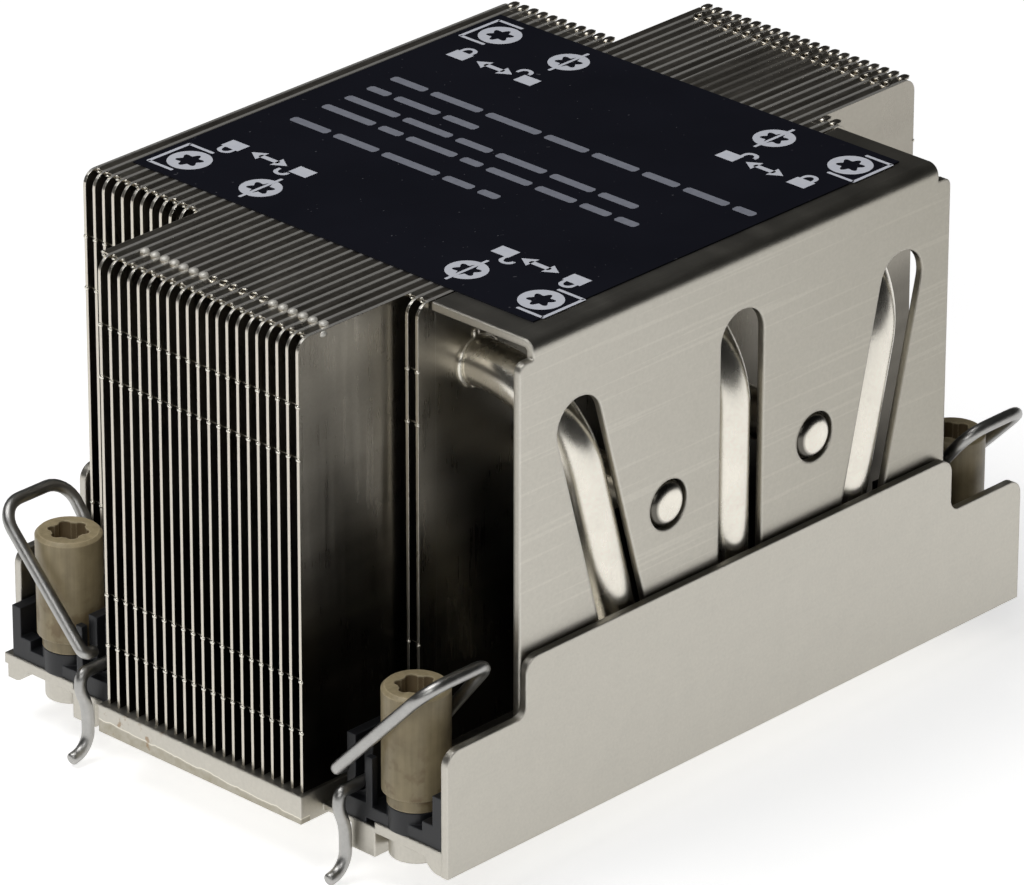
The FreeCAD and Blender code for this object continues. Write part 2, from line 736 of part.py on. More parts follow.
def make_nut(name, side_x, side_y):
    """Captive nut: post on a narrower neck, with a six-lobe socket on top and a bore from below."""
    body = new_body(name)
    profile = new_sketch(body, "profile", "XZ_Plane")
    bore_top = "(sizes.nut_shank_bottom + sizes.nut_bore_depth)"
    add_outline(
        profile,
        [
            ("sizes.nut_bore_radius", "sizes.nut_shank_bottom"),
            ("sizes.nut_shank_radius", "sizes.nut_shank_bottom"),
            ("sizes.nut_shank_radius", "sizes.nut_neck_bottom"),
            ("sizes.nut_neck_radius", "sizes.nut_neck_bottom"),
            ("sizes.nut_neck_radius", "sizes.nut_neck_top"),
            ("sizes.nut_radius", "sizes.nut_neck_top"),
            ("sizes.nut_radius", "sizes.nut_top - sizes.nut_chamfer"),
            ("sizes.nut_radius - sizes.nut_chamfer", "sizes.nut_top"),
            ("0", "sizes.nut_top"),
            ("0", bore_top),
            ("sizes.nut_bore_radius", bore_top),
        ],
    )
    turn = body.newObject("PartDesign::Revolution", name + "_turning")
    turn.Profile = profile
    turn.ReferenceAxis = (profile, ["V_Axis"])
    turn.Angle = 360
    doc.recompute()

    core = new_sketch(body, "core", "XY_Plane", "sizes.nut_top")
    add_lobes(core)
    add_pocket(body, core, "sizes.socket_depth")
    body.setExpression("Placement.Base.x", f"{side_x} * sizes.nut_half_length")
    body.setExpression("Placement.Base.y", f"{side_y} * {NUT_SIDE}")
    return body


def add_lobes(sketch):
    """Six-lobe socket: round lobes joined by arcs about the axis."""
    lobes = 6
    lobe = "sizes.socket_lobe_radius"
    core = "sizes.socket_core_radius"
    half = f"(acos((sizes.socket_lobe_place ^ 2 + {core} ^ 2 - {lobe} ^ 2)"
    half += f" / (2 * sizes.socket_lobe_place * {core})))"
    points = []
    for index in range(lobes):
        angle = f"{index * 360 / lobes} deg"
        before = f"({angle} - {half})"
        after = f"({angle} + {half})"
        points.append((f"{core} * cos({before})", f"{core} * sin({before})", lobe, 1))
        points.append((f"{core} * cos({after})", f"{core} * sin({after})", core, 1))
    add_outline(sketch, points)


def make_clip(name, side_x, side_y):
    """Plastic clip: a collar under the nut's neck, a snap block for the wire, a peg and a stop."""
    body = new_body(name)

    def across(offset):
        return f"{side_x} * (sizes.nut_half_length + {offset})"

    def along(offset):
        return f"{side_y} * ({NUT_SIDE} + {offset})"

    outside = "sizes.clip_outside_reach"
    inside = "(-sizes.clip_inside_reach)"
    block_start = "(-sizes.pivot_from_nut - sizes.clip_block_width / 2)"
    block_end = "(-sizes.pivot_from_nut + sizes.clip_block_width / 2)"
    peg_end = f"({FRAME_INSIDE} - {NUT_SIDE} - sizes.clip_skirt_gap)"
    peg_start = f"({peg_end} - sizes.clip_peg_width)"
    floor = "(sizes.web_top + sizes.clip_floor_gap)"
    block_floor = "(sizes.ear_block_top + sizes.clip_floor_gap)"

    base = new_sketch(body, "base", "XY_Plane", floor)
    add_rectangle(base, across(inside), across(outside), along(block_start), along(peg_end))
    add_pad(body, base, "sizes.clip_base_thickness")

    ledge = new_sketch(body, "ledge", "XY_Plane", block_floor)
    add_rectangle(ledge, across(inside), across(outside), along(block_start), along(block_end))
    add_pad(body, ledge, f"sizes.clip_ledge_top - {block_floor}")

    block = new_sketch(body, "block", "XY_Plane", block_floor)
    block_face = "(sizes.clip_outside_reach - sizes.clip_ledge_depth)"
    add_rectangle(block, across(inside), across(block_face), along(block_start), along(block_end))
    add_pad(body, block, f"sizes.clip_block_top - {block_floor}")

    collar = new_sketch(body, "collar", "XY_Plane", floor)
    add_circle(collar, across("0"), along("0"), "sizes.clip_collar_radius")
    add_pad(body, collar, f"sizes.nut_neck_bottom - sizes.clip_collar_gap - {floor}")

    cheek = new_sketch(body, "cheek", "XY_Plane", floor)
    cheek_inside = "(sizes.clip_outside_reach - sizes.clip_cheek_depth)"
    cheek_end = f"({block_end} + sizes.clip_cheek_width)"
    add_rectangle(cheek, across(cheek_inside), across(outside), along(block_end), along(cheek_end))
    add_pad(body, cheek, f"sizes.clip_cheek_top - {floor}")

    peg = new_sketch(body, "peg", "XY_Plane", floor)
    add_rectangle(peg, across(inside), across(outside), along(peg_start), along(peg_end))
    add_pad(body, peg, f"sizes.clip_peg_top - {floor}")

    stop = new_sketch(body, "stop", "XY_Plane", floor)
    stop_face = "(sizes.clip_outside_reach - sizes.clip_stop_depth)"
    stop_start = "sizes.clip_stop_start"
    add_rectangle(stop, across(stop_face), across(outside), along(stop_start), along(peg_start))
    add_pad(body, stop, f"sizes.clip_stop_top - {floor}")

    ring = new_sketch(body, "ring", "XY_Plane", "sizes.nut_neck_top")
    add_circle(ring, across("0"), along("0"), "sizes.nut_shank_radius + sizes.nut_hole_gap")
    add_pocket(body, ring, f"sizes.nut_neck_top - {block_floor}")

    bore = new_sketch(body, "bore", "YZ_Plane", f"-{SKIRT_END}")
    wire_bore = "sizes.wire_radius + sizes.pivot_fit"
    add_circle(bore, along("(-sizes.pivot_from_nut)"), "sizes.pivot_height", wire_bore)
    add_pocket(body, bore, f"2 * {SKIRT_END}", backwards=True)

    snap = new_sketch(body, "snap", "XY_Plane", "sizes.clip_block_top")
    snap_start = along("(-sizes.pivot_from_nut - sizes.clip_snap_width / 2)")
    snap_end = along("(-sizes.pivot_from_nut + sizes.clip_snap_width / 2)")
    add_rectangle(snap, across(inside), across(outside), snap_start, snap_end)
    add_pocket(body, snap, "sizes.clip_block_top - sizes.pivot_height")
    return body


def bent_wire(points, radius):
    """Round wire along straight runs with mitred corners."""
    path = Part.makePolygon(points)
    circle = Part.Circle(points[0], points[1] - points[0], radius)
    section = Part.Wire(circle.toShape())
    mitred = 1
    return path.makePipeShell([section], True, False, mitred)


def make_bail(name, side_x, side_y):
    """Wire bail: hook, pivot run through the clip, handle that leans outwards, and a short stub."""

    def spot(reach, out="0", up="0"):
        across = number(f"sizes.nut_half_length + {reach}")
        along = number(f"{PIVOT_SIDE} + {out}")
        return Vector(side_x * across, side_y * along, number(f"sizes.pivot_height + {up}"))

    half = "sizes.bail_half_width"
    setback = "(-sizes.bail_stub_setback)"
    points = [
        spot("sizes.hook_tip", up="(-sizes.hook_tip_drop)"),
        spot("sizes.hook_toe + sizes.wire_radius", up="(-sizes.hook_heel_drop)"),
        spot("sizes.hook_toe", up="(-sizes.hook_toe_drop)"),
        spot("sizes.hook_waist", up="(-sizes.hook_waist_drop)"),
        spot("sizes.hook_shoulder", up="(-sizes.hook_shoulder_drop)"),
        spot("sizes.hook_start"),
        spot(f"(-{half})"),
        spot(f"(-{half})", "sizes.bail_reach", "sizes.bail_rise"),
        spot(half, "sizes.bail_reach", "sizes.bail_rise"),
        spot(half, setback, "sizes.bail_stub_height"),
        spot(f"{half} - sizes.bail_stub", setback, "sizes.bail_stub_height"),
    ]
    bail = doc.addObject("Part::Feature", name)
    bail.Label = name
    bail.Shape = bent_wire(points, number("sizes.wire_radius"))
    return bail


def make_corners():
    pieces = []
    for index, (side_x, side_y) in enumerate(CORNERS, start=1):
        pieces.append(make_nut(f"captive_nut_{index}", side_x, side_y))
        pieces.append(make_clip(f"nut_clip_{index}", side_x, side_y))
        pieces.append(make_bail(f"anti_tilt_bail_{index}", side_x, side_y))
    return pieces


def check_model(pieces):
    """Stop if any object failed to build or any piece has no valid shape."""
    doc.recompute()
    for item in doc.Objects:
        if "Invalid" in item.State or "Error" in item.State:
            raise RuntimeError(item.Name + " failed to build")
    for piece in pieces:
        if piece.Shape.isNull() or not piece.Shape.isValid():
            raise RuntimeError(piece.Label + " has no valid shape")


def write_parts(pieces):
    os.makedirs("parts", exist_ok=True)
    for piece in pieces:
        piece.Shape.exportStep(os.path.join("parts", piece.Label + ".step"))


pieces = [make_base_frame(), make_cold_plate(), make_cover(), make_label_film()]
pieces += make_pipes()
pieces += make_corners()
pieces += make_fins()
check_model(pieces)
write_parts(pieces)
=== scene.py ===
"""Looks of a passive server processor heatsink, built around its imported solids.

Lengths are metres in the solids' own frame: +X along the airflow, -Y the slotted side, +Z up.
"""

import math
import random

import bmesh
import bpy
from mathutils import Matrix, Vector


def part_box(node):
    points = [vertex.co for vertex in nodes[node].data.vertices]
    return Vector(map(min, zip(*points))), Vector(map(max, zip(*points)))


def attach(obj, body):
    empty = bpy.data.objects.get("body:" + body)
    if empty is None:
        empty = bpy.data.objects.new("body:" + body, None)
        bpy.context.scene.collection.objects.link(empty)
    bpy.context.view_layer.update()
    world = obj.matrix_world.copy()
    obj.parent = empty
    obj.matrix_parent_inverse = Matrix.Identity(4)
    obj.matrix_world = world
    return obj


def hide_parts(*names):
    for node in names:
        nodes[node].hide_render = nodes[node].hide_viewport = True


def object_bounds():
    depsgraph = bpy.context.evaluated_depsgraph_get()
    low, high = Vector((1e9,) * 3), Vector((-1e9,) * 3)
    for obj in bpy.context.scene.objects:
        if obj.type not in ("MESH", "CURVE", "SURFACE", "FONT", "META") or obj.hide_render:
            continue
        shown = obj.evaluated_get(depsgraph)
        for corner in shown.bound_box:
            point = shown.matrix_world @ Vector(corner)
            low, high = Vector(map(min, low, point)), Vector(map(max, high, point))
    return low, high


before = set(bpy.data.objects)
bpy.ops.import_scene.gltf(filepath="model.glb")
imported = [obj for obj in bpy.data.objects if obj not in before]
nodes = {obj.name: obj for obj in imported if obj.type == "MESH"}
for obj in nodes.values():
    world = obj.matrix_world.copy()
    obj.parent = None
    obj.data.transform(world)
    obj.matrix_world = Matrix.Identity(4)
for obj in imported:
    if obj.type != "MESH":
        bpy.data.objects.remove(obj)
cad_low, cad_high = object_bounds()
MM = 0.001


# Studio
# A pale floor under the hooks' lowest point, one wide soft lamp overhead, a weaker one in front,
# and a camera on a long lens at the photograph's angle.

camera_lens = bpy.data.cameras.new("camera")
camera_lens.sensor_fit = "HORIZONTAL"
camera_lens.sensor_width = 36.0
camera_lens.lens = 282.343
camera_lens.clip_start = 0.01
camera_lens.clip_end = 20.0
camera = bpy.data.objects.new("camera", camera_lens)
camera.location = (-0.632451, -0.603537, 0.443175)
camera.rotation_euler = [math.radians(angle) for angle in (64.438, -0.053, -46.281)]
bpy.context.scene.collection.objects.link(camera)
bpy.context.scene.camera = camera
bpy.context.scene.view_settings.view_transform = "Standard"


def srgb(red, green, blue):
    """Linear colour of a shade given in 0 to 255 screen values."""
    channels = []
    for value in (red, green, blue):
        level = value / 255
        linear = level / 12.92 if level <= 0.04045 else ((level + 0.055) / 1.055) ** 2.4
        channels.append(linear)
    return (*channels, 1.0)


def new_material(name):
    """Material with an empty tree but for its output and one Principled BSDF."""
    material = bpy.data.materials.new(name)
    material.use_nodes = True
    tree = material.node_tree
    shader = tree.nodes["Principled BSDF"]
    return material, tree, shader


def seen_directly(tree):
    """1 for rays from the eye, a mirror or glass, and 0 for the light that falls on things."""
    path = tree.nodes.new("ShaderNodeLightPath")
    first = tree.nodes.new("ShaderNodeMath")
    first.operation = "MAXIMUM"
    second = tree.nodes.new("ShaderNodeMath")
    second.operation = "MAXIMUM"
    tree.links.new(path.outputs["Is Camera Ray"], first.inputs[0])
    tree.links.new(path.outputs["Is Glossy Ray"], first.inputs[1])
    tree.links.new(first.outputs[0], second.inputs[0])
    tree.links.new(path.outputs["Is Transmission Ray"], second.inputs[1])
    return second.outputs[0]


AMBIENT = 0.55
CEILING = 0.50
world = bpy.data.worlds.new("studio")
bpy.context.scene.world = world
world.use_nodes = True
sky = world.node_tree
backdrop = sky.nodes["Background"]
height = sky.nodes.new("ShaderNodeTexCoord")
split = sky.nodes.new("ShaderNodeSeparateXYZ")
fall = sky.nodes.new("ShaderNodeMapRange")
fall.interpolation_type = "SMOOTHSTEP"
fall.inputs["From Min"].default_value = 0.18
fall.inputs["From Max"].default_value = 0.50
fall.inputs["To Min"].default_value = 1.0
fall.inputs["To Max"].default_value = CEILING
level = sky.nodes.new("ShaderNodeMix")
level.data_type = "FLOAT"
level.inputs["A"].default_value = AMBIENT
sky.links.new(height.outputs["Generated"], split.inputs[0])
sky.links.new(split.outputs["Z"], fall.inputs["Value"])
sky.links.new(seen_directly(sky), level.inputs["Factor"])
sky.links.new(fall.outputs["Result"], level.inputs["B"])
sky.links.new(level.outputs["Result"], backdrop.inputs["Strength"])

FLOOR_SIZE = 3.0
FLOOR_GLOW = 0.66
floor_mesh = bpy.data.meshes.new("floor")
half = FLOOR_SIZE / 2
floor_mesh.from_pydata(
    [(-half, -half, 0), (half, -half, 0), (half, half, 0), (-half, half, 0)], [], [(0, 1, 2, 3)]
)
floor = bpy.data.objects.new("floor", floor_mesh)
floor.location.z = cad_low.z - 0.0002
bpy.context.scene.collection.objects.link(floor)
floor_paint, tree, shader = new_material("floor_paint")
shader.inputs["Base Color"].default_value = srgb(238, 238, 238)
shader.inputs["Roughness"].default_value = 0.9
shader.inputs["Specular IOR Level"].default_value = 0.0
shader.inputs["Emission Color"].default_value = (1.0, 1.0, 1.0, 1.0)
glow = tree.nodes.new("ShaderNodeMath")
glow.operation = "MULTIPLY"
glow.inputs[1].default_value = FLOOR_GLOW
tree.links.new(seen_directly(tree), glow.inputs[0])
tree.links.new(glow.outputs[0], shader.inputs["Emission Strength"])
floor_mesh.materials.append(floor_paint)


def add_lamp(name, place, size, power):
    """Square soft lamp that looks at the middle of the fin stack."""
    light = bpy.data.lights.new(name, "AREA")
    light.shape = "SQUARE"
    light.size = size
    light.energy = power
    lamp = bpy.data.objects.new(name, light)
    lamp.location = place
    aim = Vector((0.0, 0.0, 0.03)) - Vector(place)
    lamp.rotation_euler = aim.to_track_quat("-Z", "Y").to_euler()
    bpy.context.scene.collection.objects.link(lamp)


OVERHEAD_POWER = 6.5
FRONT_POWER = 2.8
add_lamp("overhead_lamp", (-0.35, 0.25, 1.1), 0.7, OVERHEAD_POWER)
add_lamp("front_lamp", (-1.0, -0.6, 0.75), 0.5, FRONT_POWER)


# Plated metal
# Every metal piece but the wires is nickel plated: a warm grey skin with a soft mottle, faint drawing
# or rolling lines along one direction, and a thin bright line at each edge that is partly wear and
# partly painted highlight.


def new_group(name, numbers, colours=(), outputs=()):
    """Shader node group with named inputs and outputs, and its input and output nodes."""
    group = bpy.data.node_groups.new(name, "ShaderNodeTree")
    for label, value in colours:
        socket = group.interface.new_socket(label, in_out="INPUT", socket_type="NodeSocketColor")
        socket.default_value = value
    for label, value in numbers:
        kind = "NodeSocketVector" if isinstance(value, tuple) else "NodeSocketFloat"
        socket = group.interface.new_socket(label, in_out="INPUT", socket_type=kind)
        socket.default_value = value
    for label, kind in outputs:
        group.interface.new_socket(label, in_out="OUTPUT", socket_type="NodeSocket" + kind)
    return group, group.nodes.new("NodeGroupInput"), group.nodes.new("NodeGroupOutput")


def add_math(tree, operation, first, second=None):
    """Math node on two sockets or numbers, and its result."""
    node = tree.nodes.new("ShaderNodeMath")
    node.operation = operation
    for index, value in enumerate((first, second)):
        if value is None:
            continue
        if isinstance(value, (int, float)):
            node.inputs[index].default_value = value
        else:
            tree.links.new(value, node.inputs[index])
    return node.outputs[0]


def add_noise(tree, vector, scale, detail=3.0, rough=0.55):
    """Noise of the given scale per metre, centred on zero."""
    noise = tree.nodes.new("ShaderNodeTexNoise")
    noise.inputs["Detail"].default_value = detail
    noise.inputs["Roughness"].default_value = rough
    if isinstance(scale, (int, float)):
        noise.inputs["Scale"].default_value = scale
    else:
        tree.links.new(scale, noise.inputs["Scale"])
    tree.links.new(vector, noise.inputs["Vector"])
    return add_math(tree, "SUBTRACT", noise.outputs["Fac"], 0.5)


def mix_colour(tree, factor, first, second, blend="MIX"):
    """Colour mix of two sockets or colours."""
    mix = tree.nodes.new("ShaderNodeMix")
    mix.data_type = "RGBA"
    mix.blend_type = blend
    for socket, value in (("Factor", factor), ("A", first), ("B", second)):
        index = {"Factor": 0, "A": 6, "B": 7}[socket]
        if isinstance(value, (int, float, tuple)):
            mix.inputs[index].default_value = value
        else:
            tree.links.new(value, mix.inputs[index])
    return mix.outputs[2]


plating, entry, leave = new_group(
    "plating",
    (
        ("Mottle", 0.12),
        ("Mottle Scale", 180.0),
        ("Lines", 0.10),
        ("Line Stretch", (40.0, 1600.0, 1600.0)),
        ("Scratches", 0.0),
        ("Roughness", 0.34),
    ),
    (("Colour", (0.5, 0.48, 0.42, 1.0)),),
    (("Colour", "Color"), ("Roughness", "Float"), ("Height", "Float")),
)
place = plating.nodes.new("ShaderNodeTexCoord")
stretch = plating.nodes.new("ShaderNodeVectorMath")
stretch.operation = "MULTIPLY"
plating.links.new(place.outputs["Object"], stretch.inputs[0])
plating.links.new(entry.outputs["Line Stretch"], stretch.inputs[1])
cloud = add_noise(plating, place.outputs["Object"], entry.outputs["Mottle Scale"])
grain = add_noise(plating, place.outputs["Object"], 2600.0, 2.0)
lines = add_noise(plating, stretch.outputs[0], 1.0, 2.0)
mottled = add_math(plating, "MULTIPLY", cloud, entry.outputs["Mottle"])
lined = add_math(plating, "MULTIPLY", lines, entry.outputs["Lines"])
speckled = add_math(plating, "MULTIPLY", grain, 0.08)
# Scratches run a little downhill along the airflow
SCRATCH_SLANT = -9
scratch_place = plating.nodes.new("ShaderNodeMapping")
scratch_place.inputs["Rotation"].default_value = (0.0, math.radians(SCRATCH_SLANT), 0.0)
scratch_place.inputs["Scale"].default_value = (34.0, 2600.0, 2600.0)
plating.links.new(place.outputs["Object"], scratch_place.inputs["Vector"])
scratch = plating.nodes.new("ShaderNodeMapRange")
scratch.inputs["From Min"].default_value = 0.17
scratch.inputs["From Max"].default_value = 0.24
plating.links.new(add_noise(plating, scratch_place.outputs[0], 1.0, 0.0), scratch.inputs["Value"])
scratched = add_math(plating, "MULTIPLY", scratch.outputs["Result"], entry.outputs["Scratches"])
change = add_math(plating, "ADD", add_math(plating, "ADD", mottled, lined), speckled)
change = add_math(plating, "ADD", change, scratched)
gain = add_math(plating, "ADD", add_math(plating, "MULTIPLY", change, 2.0), 1.0)
shade = plating.nodes.new("ShaderNodeVectorMath")
shade.operation = "SCALE"
plating.links.new(entry.outputs["Colour"], shade.inputs[0])
plating.links.new(gain, shade.inputs["Scale"])
plating.links.new(shade.outputs[0], leave.inputs["Colour"])
dulled = add_math(plating, "MULTIPLY", add_math(plating, "ADD", cloud, lines), 0.16)
dulled = add_math(plating, "ADD", entry.outputs["Roughness"], dulled)
plating.links.new(dulled, leave.inputs["Roughness"])
relief = add_math(plating, "ADD", lines, add_math(plating, "MULTIPLY", grain, 0.6))
plating.links.new(relief, leave.inputs["Height"])

# Edge mask for the bright edge line, partly wear and partly painted highlight, and the rounded edge
# normal
edge_wear_and_highlight, entry, leave = new_group(
    "edge_wear_and_highlight",
    (("Width", 0.00035),),
    (),
    (("Edge", "Float"), ("Normal", "Vector")),
)
rounded = edge_wear_and_highlight.nodes.new("ShaderNodeBevel")
rounded.samples = 4
true_normal = edge_wear_and_highlight.nodes.new("ShaderNodeNewGeometry")
facing = edge_wear_and_highlight.nodes.new("ShaderNodeVectorMath")
facing.operation = "DOT_PRODUCT"
edge_wear_and_highlight.links.new(entry.outputs["Width"], rounded.inputs["Radius"])
edge_wear_and_highlight.links.new(rounded.outputs[0], facing.inputs[0])
edge_wear_and_highlight.links.new(true_normal.outputs["Normal"], facing.inputs[1])
sharp = edge_wear_and_highlight.nodes.new("ShaderNodeMapRange")
sharp.inputs["From Min"].default_value = 1.0
sharp.inputs["From Max"].default_value = 0.80
edge_wear_and_highlight.links.new(facing.outputs["Value"], sharp.inputs["Value"])
edge_wear_and_highlight.links.new(sharp.outputs["Result"], leave.inputs["Edge"])
edge_wear_and_highlight.links.new(rounded.outputs[0], leave.inputs["Normal"])


def place_group(tree, group, colours=(), values=()):
    """Group node in a material, with its own values."""
    node = tree.nodes.new("ShaderNodeGroup")
    node.node_tree = group
    for label, value in (*colours, *values):
        node.inputs[label].default_value = value
    return node


def nickel(name, colour, rough, mottle, lines, stretch, bump, edges=(0.00035, 0.35), scratches=0.0):
    """Plated metal finish; mottle and edges are pairs of a size and an amount."""
    material, tree, shader = new_material(name)
    skin = place_group(
        tree,
        plating,
        (("Colour", colour),),
        (
            ("Mottle Scale", mottle[0]),
            ("Mottle", mottle[1]),
            ("Lines", lines),
            ("Line Stretch", stretch),
            ("Scratches", scratches),
            ("Roughness", rough),
        ),
    )
    wear = place_group(tree, edge_wear_and_highlight, (), (("Width", edges[0]),))
    # Bright edge line: partly wear, partly painted highlight
    wear_and_highlight = add_math(tree, "MULTIPLY", wear.outputs["Edge"], edges[1])
    colour_socket = mix_colour(tree, wear_and_highlight, skin.outputs["Colour"], srgb(246, 242, 232))
    relief = tree.nodes.new("ShaderNodeBump")
    relief.inputs["Strength"].default_value = bump
    relief.inputs["Distance"].default_value = 0.00002
    tree.links.new(skin.outputs["Height"], relief.inputs["Height"])
    tree.links.new(wear.outputs["Normal"], relief.inputs["Normal"])
    tree.links.new(relief.outputs[0], shader.inputs["Normal"])
    tree.links.new(skin.outputs["Roughness"], shader.inputs["Roughness"])
    tree.links.new(colour_socket, shader.inputs["Base Color"])
    shader.inputs["Metallic"].default_value = 1.0
    return material, tree, shader, colour_socket


def finish_node(name, material):
    """Give a carried-over solid its material in place of the plain one."""
    mesh = nodes[name].data
    mesh.materials.clear()
    mesh.materials.append(material)


# Base frame
# One nickel-plated casting: the bar under the long fins, four ears, and the two side skirts.
# It is satin, with a rough band and brown stains along the bar's front where flux was left.

cast_nickel, tree, shader, colour_socket = nickel(
    "cast_nickel", srgb(194, 190, 180), 0.38, (240.0, 0.09), 0.05, (60.0, 1500.0, 1500.0), 0.5
)
place = tree.nodes.new("ShaderNodeTexCoord")
split = tree.nodes.new("ShaderNodeSeparateXYZ")
tree.links.new(place.outputs["Object"], split.inputs[0])
stain_noise = tree.nodes.new("ShaderNodeMapRange")
stain_noise.inputs["From Min"].default_value = 0.12
stain_noise.inputs["From Max"].default_value = 0.20
tree.links.new(add_noise(tree, place.outputs["Object"], 620.0, 4.0, 0.6), stain_noise.inputs["Value"])
BAR_FRONT = -52.5 * MM
STAIN_START = 6 * MM
near_front = add_math(tree, "LESS_THAN", split.outputs["X"], BAR_FRONT)
far_end = add_math(tree, "GREATER_THAN", split.outputs["Y"], STAIN_START)
stained = add_math(tree, "MULTIPLY", near_front, far_end)
stained = add_math(tree, "MULTIPLY", stained, stain_noise.outputs["Result"])
band_place = tree.nodes.new("ShaderNodeVectorMath")
band_place.operation = "MULTIPLY"
band_place.inputs[1].default_value = (0.0, 260.0, 0.0)
tree.links.new(place.outputs["Object"], band_place.inputs[0])
# The rough band has a wavy top with a light line along it
BAND_HEIGHT = 1.25 * MM
BAND_WAVE = 1.1 * MM
band_top = add_math(tree, "ADD", add_math(tree, "MULTIPLY", split.outputs["Y"], 0.03), BAND_HEIGHT)
wave = add_math(tree, "MULTIPLY", add_noise(tree, band_place.outputs[0], 1.0, 3.0), BAND_WAVE)
band_top = add_math(tree, "ADD", band_top, wave)
above = add_math(tree, "SUBTRACT", split.outputs["Z"], band_top)
rough_band = tree.nodes.new("ShaderNodeMapRange")
rough_band.inputs["From Min"].default_value = 0.0
rough_band.inputs["From Max"].default_value = -0.25 * MM
tree.links.new(above, rough_band.inputs["Value"])
grit = add_math(tree, "ADD", add_noise(tree, place.outputs["Object"], 900.0, 3.0), 0.75)
banded = add_math(tree, "MULTIPLY", rough_band.outputs["Result"], near_front)
banded = add_math(tree, "MULTIPLY", add_math(tree, "MULTIPLY", banded, grit), 0.7)
colour_socket = mix_colour(tree, banded, colour_socket, srgb(142, 134, 112))
light_line = add_math(tree, "LESS_THAN", add_math(tree, "ABSOLUTE", above), 0.07 * MM)
light_line = add_math(tree, "MULTIPLY", add_math(tree, "MULTIPLY", light_line, near_front), 0.6)
colour_socket = mix_colour(tree, light_line, colour_socket, srgb(244, 238, 222))
colour_socket = mix_colour(
    tree, add_math(tree, "MULTIPLY", stained, 0.6), colour_socket, srgb(138, 104, 58)
)
tree.links.new(colour_socket, shader.inputs["Base Color"])
finish_node("base_frame", cast_nickel)


# Contact plate
# A flat plate let into the underside of the frame, ground along the airflow so that it beds
# on the processor's lid. It keeps fine straight grinding lines.

contact_nickel = nickel(
    "contact_nickel", srgb(205, 201, 192), 0.26, (90.0, 0.04), 0.16, (30.0, 4200.0, 4200.0), 0.8
)[0]
finish_node("cold_plate", contact_nickel)


# Fins
# Thin plated sheets, each with a fold along its top that reaches the next fin. The folds look dull and
# dark, with a painted highlight line where each fold turns down into its fin, and the faces towards the
# slotted side carry painted shade.

FIN_PITCH = 1.62 * MM
FIN_HALF = 0.2 * MM
FIN_TOP = 61.5 * MM

fin_nickel, tree, shader, colour_socket = nickel(
    "fin_nickel",
    srgb(208, 202, 189),
    0.30,
    (160.0, 0.08),
    0.03,
    (1500.0, 1500.0, 45.0),
    0.06,
    (0.00012, 0.5),
)
place = tree.nodes.new("ShaderNodeTexCoord")
split = tree.nodes.new("ShaderNodeSeparateXYZ")
tree.links.new(place.outputs["Object"], split.inputs[0])
normal = tree.nodes.new("ShaderNodeNewGeometry")
tilt = tree.nodes.new("ShaderNodeSeparateXYZ")
tree.links.new(normal.outputs["Normal"], tilt.inputs[0])
on_top = tree.nodes.new("ShaderNodeMapRange")
on_top.inputs["From Min"].default_value = 0.55
on_top.inputs["From Max"].default_value = 0.9
tree.links.new(tilt.outputs["Z"], on_top.inputs["Value"])
# Distance from the fin's middle plane, over one pitch; whole steps keep it above zero
WHOLE_STEPS = 40
step = add_math(tree, "DIVIDE", split.outputs["Y"], FIN_PITCH)
offset = add_math(tree, "FRACT", add_math(tree, "ADD", step, 0.5 + WHOLE_STEPS))
near_fin = tree.nodes.new("ShaderNodeMapRange")
near_fin.inputs["From Min"].default_value = 0.16
near_fin.inputs["From Max"].default_value = 0.21
offset = add_math(tree, "ABSOLUTE", add_math(tree, "SUBTRACT", offset, 0.5))
tree.links.new(offset, near_fin.inputs["Value"])
streak_place = tree.nodes.new("ShaderNodeVectorMath")
streak_place.operation = "MULTIPLY"
streak_place.inputs[1].default_value = (60.0, 620.0, 0.0)
tree.links.new(place.outputs["Object"], streak_place.inputs[0])
streaks = add_noise(tree, streak_place.outputs[0], 1.0, 3.0)
fold_shade = mix_colour(
    tree,
    add_math(tree, "ADD", add_math(tree, "MULTIPLY", streaks, 1.8), 0.45),
    srgb(142, 134, 121),
    srgb(228, 220, 206),
)
# Behind the rear end of the block the middle folds' painted highlight lines are fainter
FADE_MIDDLE = 1.5 * MM
FADE_HALF = 4.8 * MM
inside = add_math(tree, "ABSOLUTE", add_math(tree, "ADD", split.outputs["Y"], FADE_MIDDLE))
faded_highlight = add_math(tree, "MULTIPLY", add_math(tree, "LESS_THAN", inside, FADE_HALF), 0.6)
faded_highlight = add_math(tree, "MULTIPLY", faded_highlight, add_math(tree, "GREATER_THAN", split.outputs["X"], 0.0))
dark = add_math(tree, "MAXIMUM", near_fin.outputs["Result"], faded_highlight)
# Painted highlight: the fold tops are painted near white, and the fold colour below leaves only a thin
# light line where each fold turns down
colour_socket = mix_colour(tree, on_top.outputs["Result"], colour_socket, srgb(255, 252, 244))
dark = add_math(tree, "MULTIPLY", dark, on_top.outputs["Result"])
colour_socket = mix_colour(tree, dark, colour_socket, fold_shade)
# The painted highlight lines are also made less metallic, so they scatter the lamps' light too
painted_highlight_line = add_math(tree, "SUBTRACT", on_top.outputs["Result"], dark)
painted_highlight_line = add_math(tree, "MULTIPLY", painted_highlight_line, 0.22)
tree.links.new(add_math(tree, "SUBTRACT", 1.0, painted_highlight_line), shader.inputs["Metallic"])
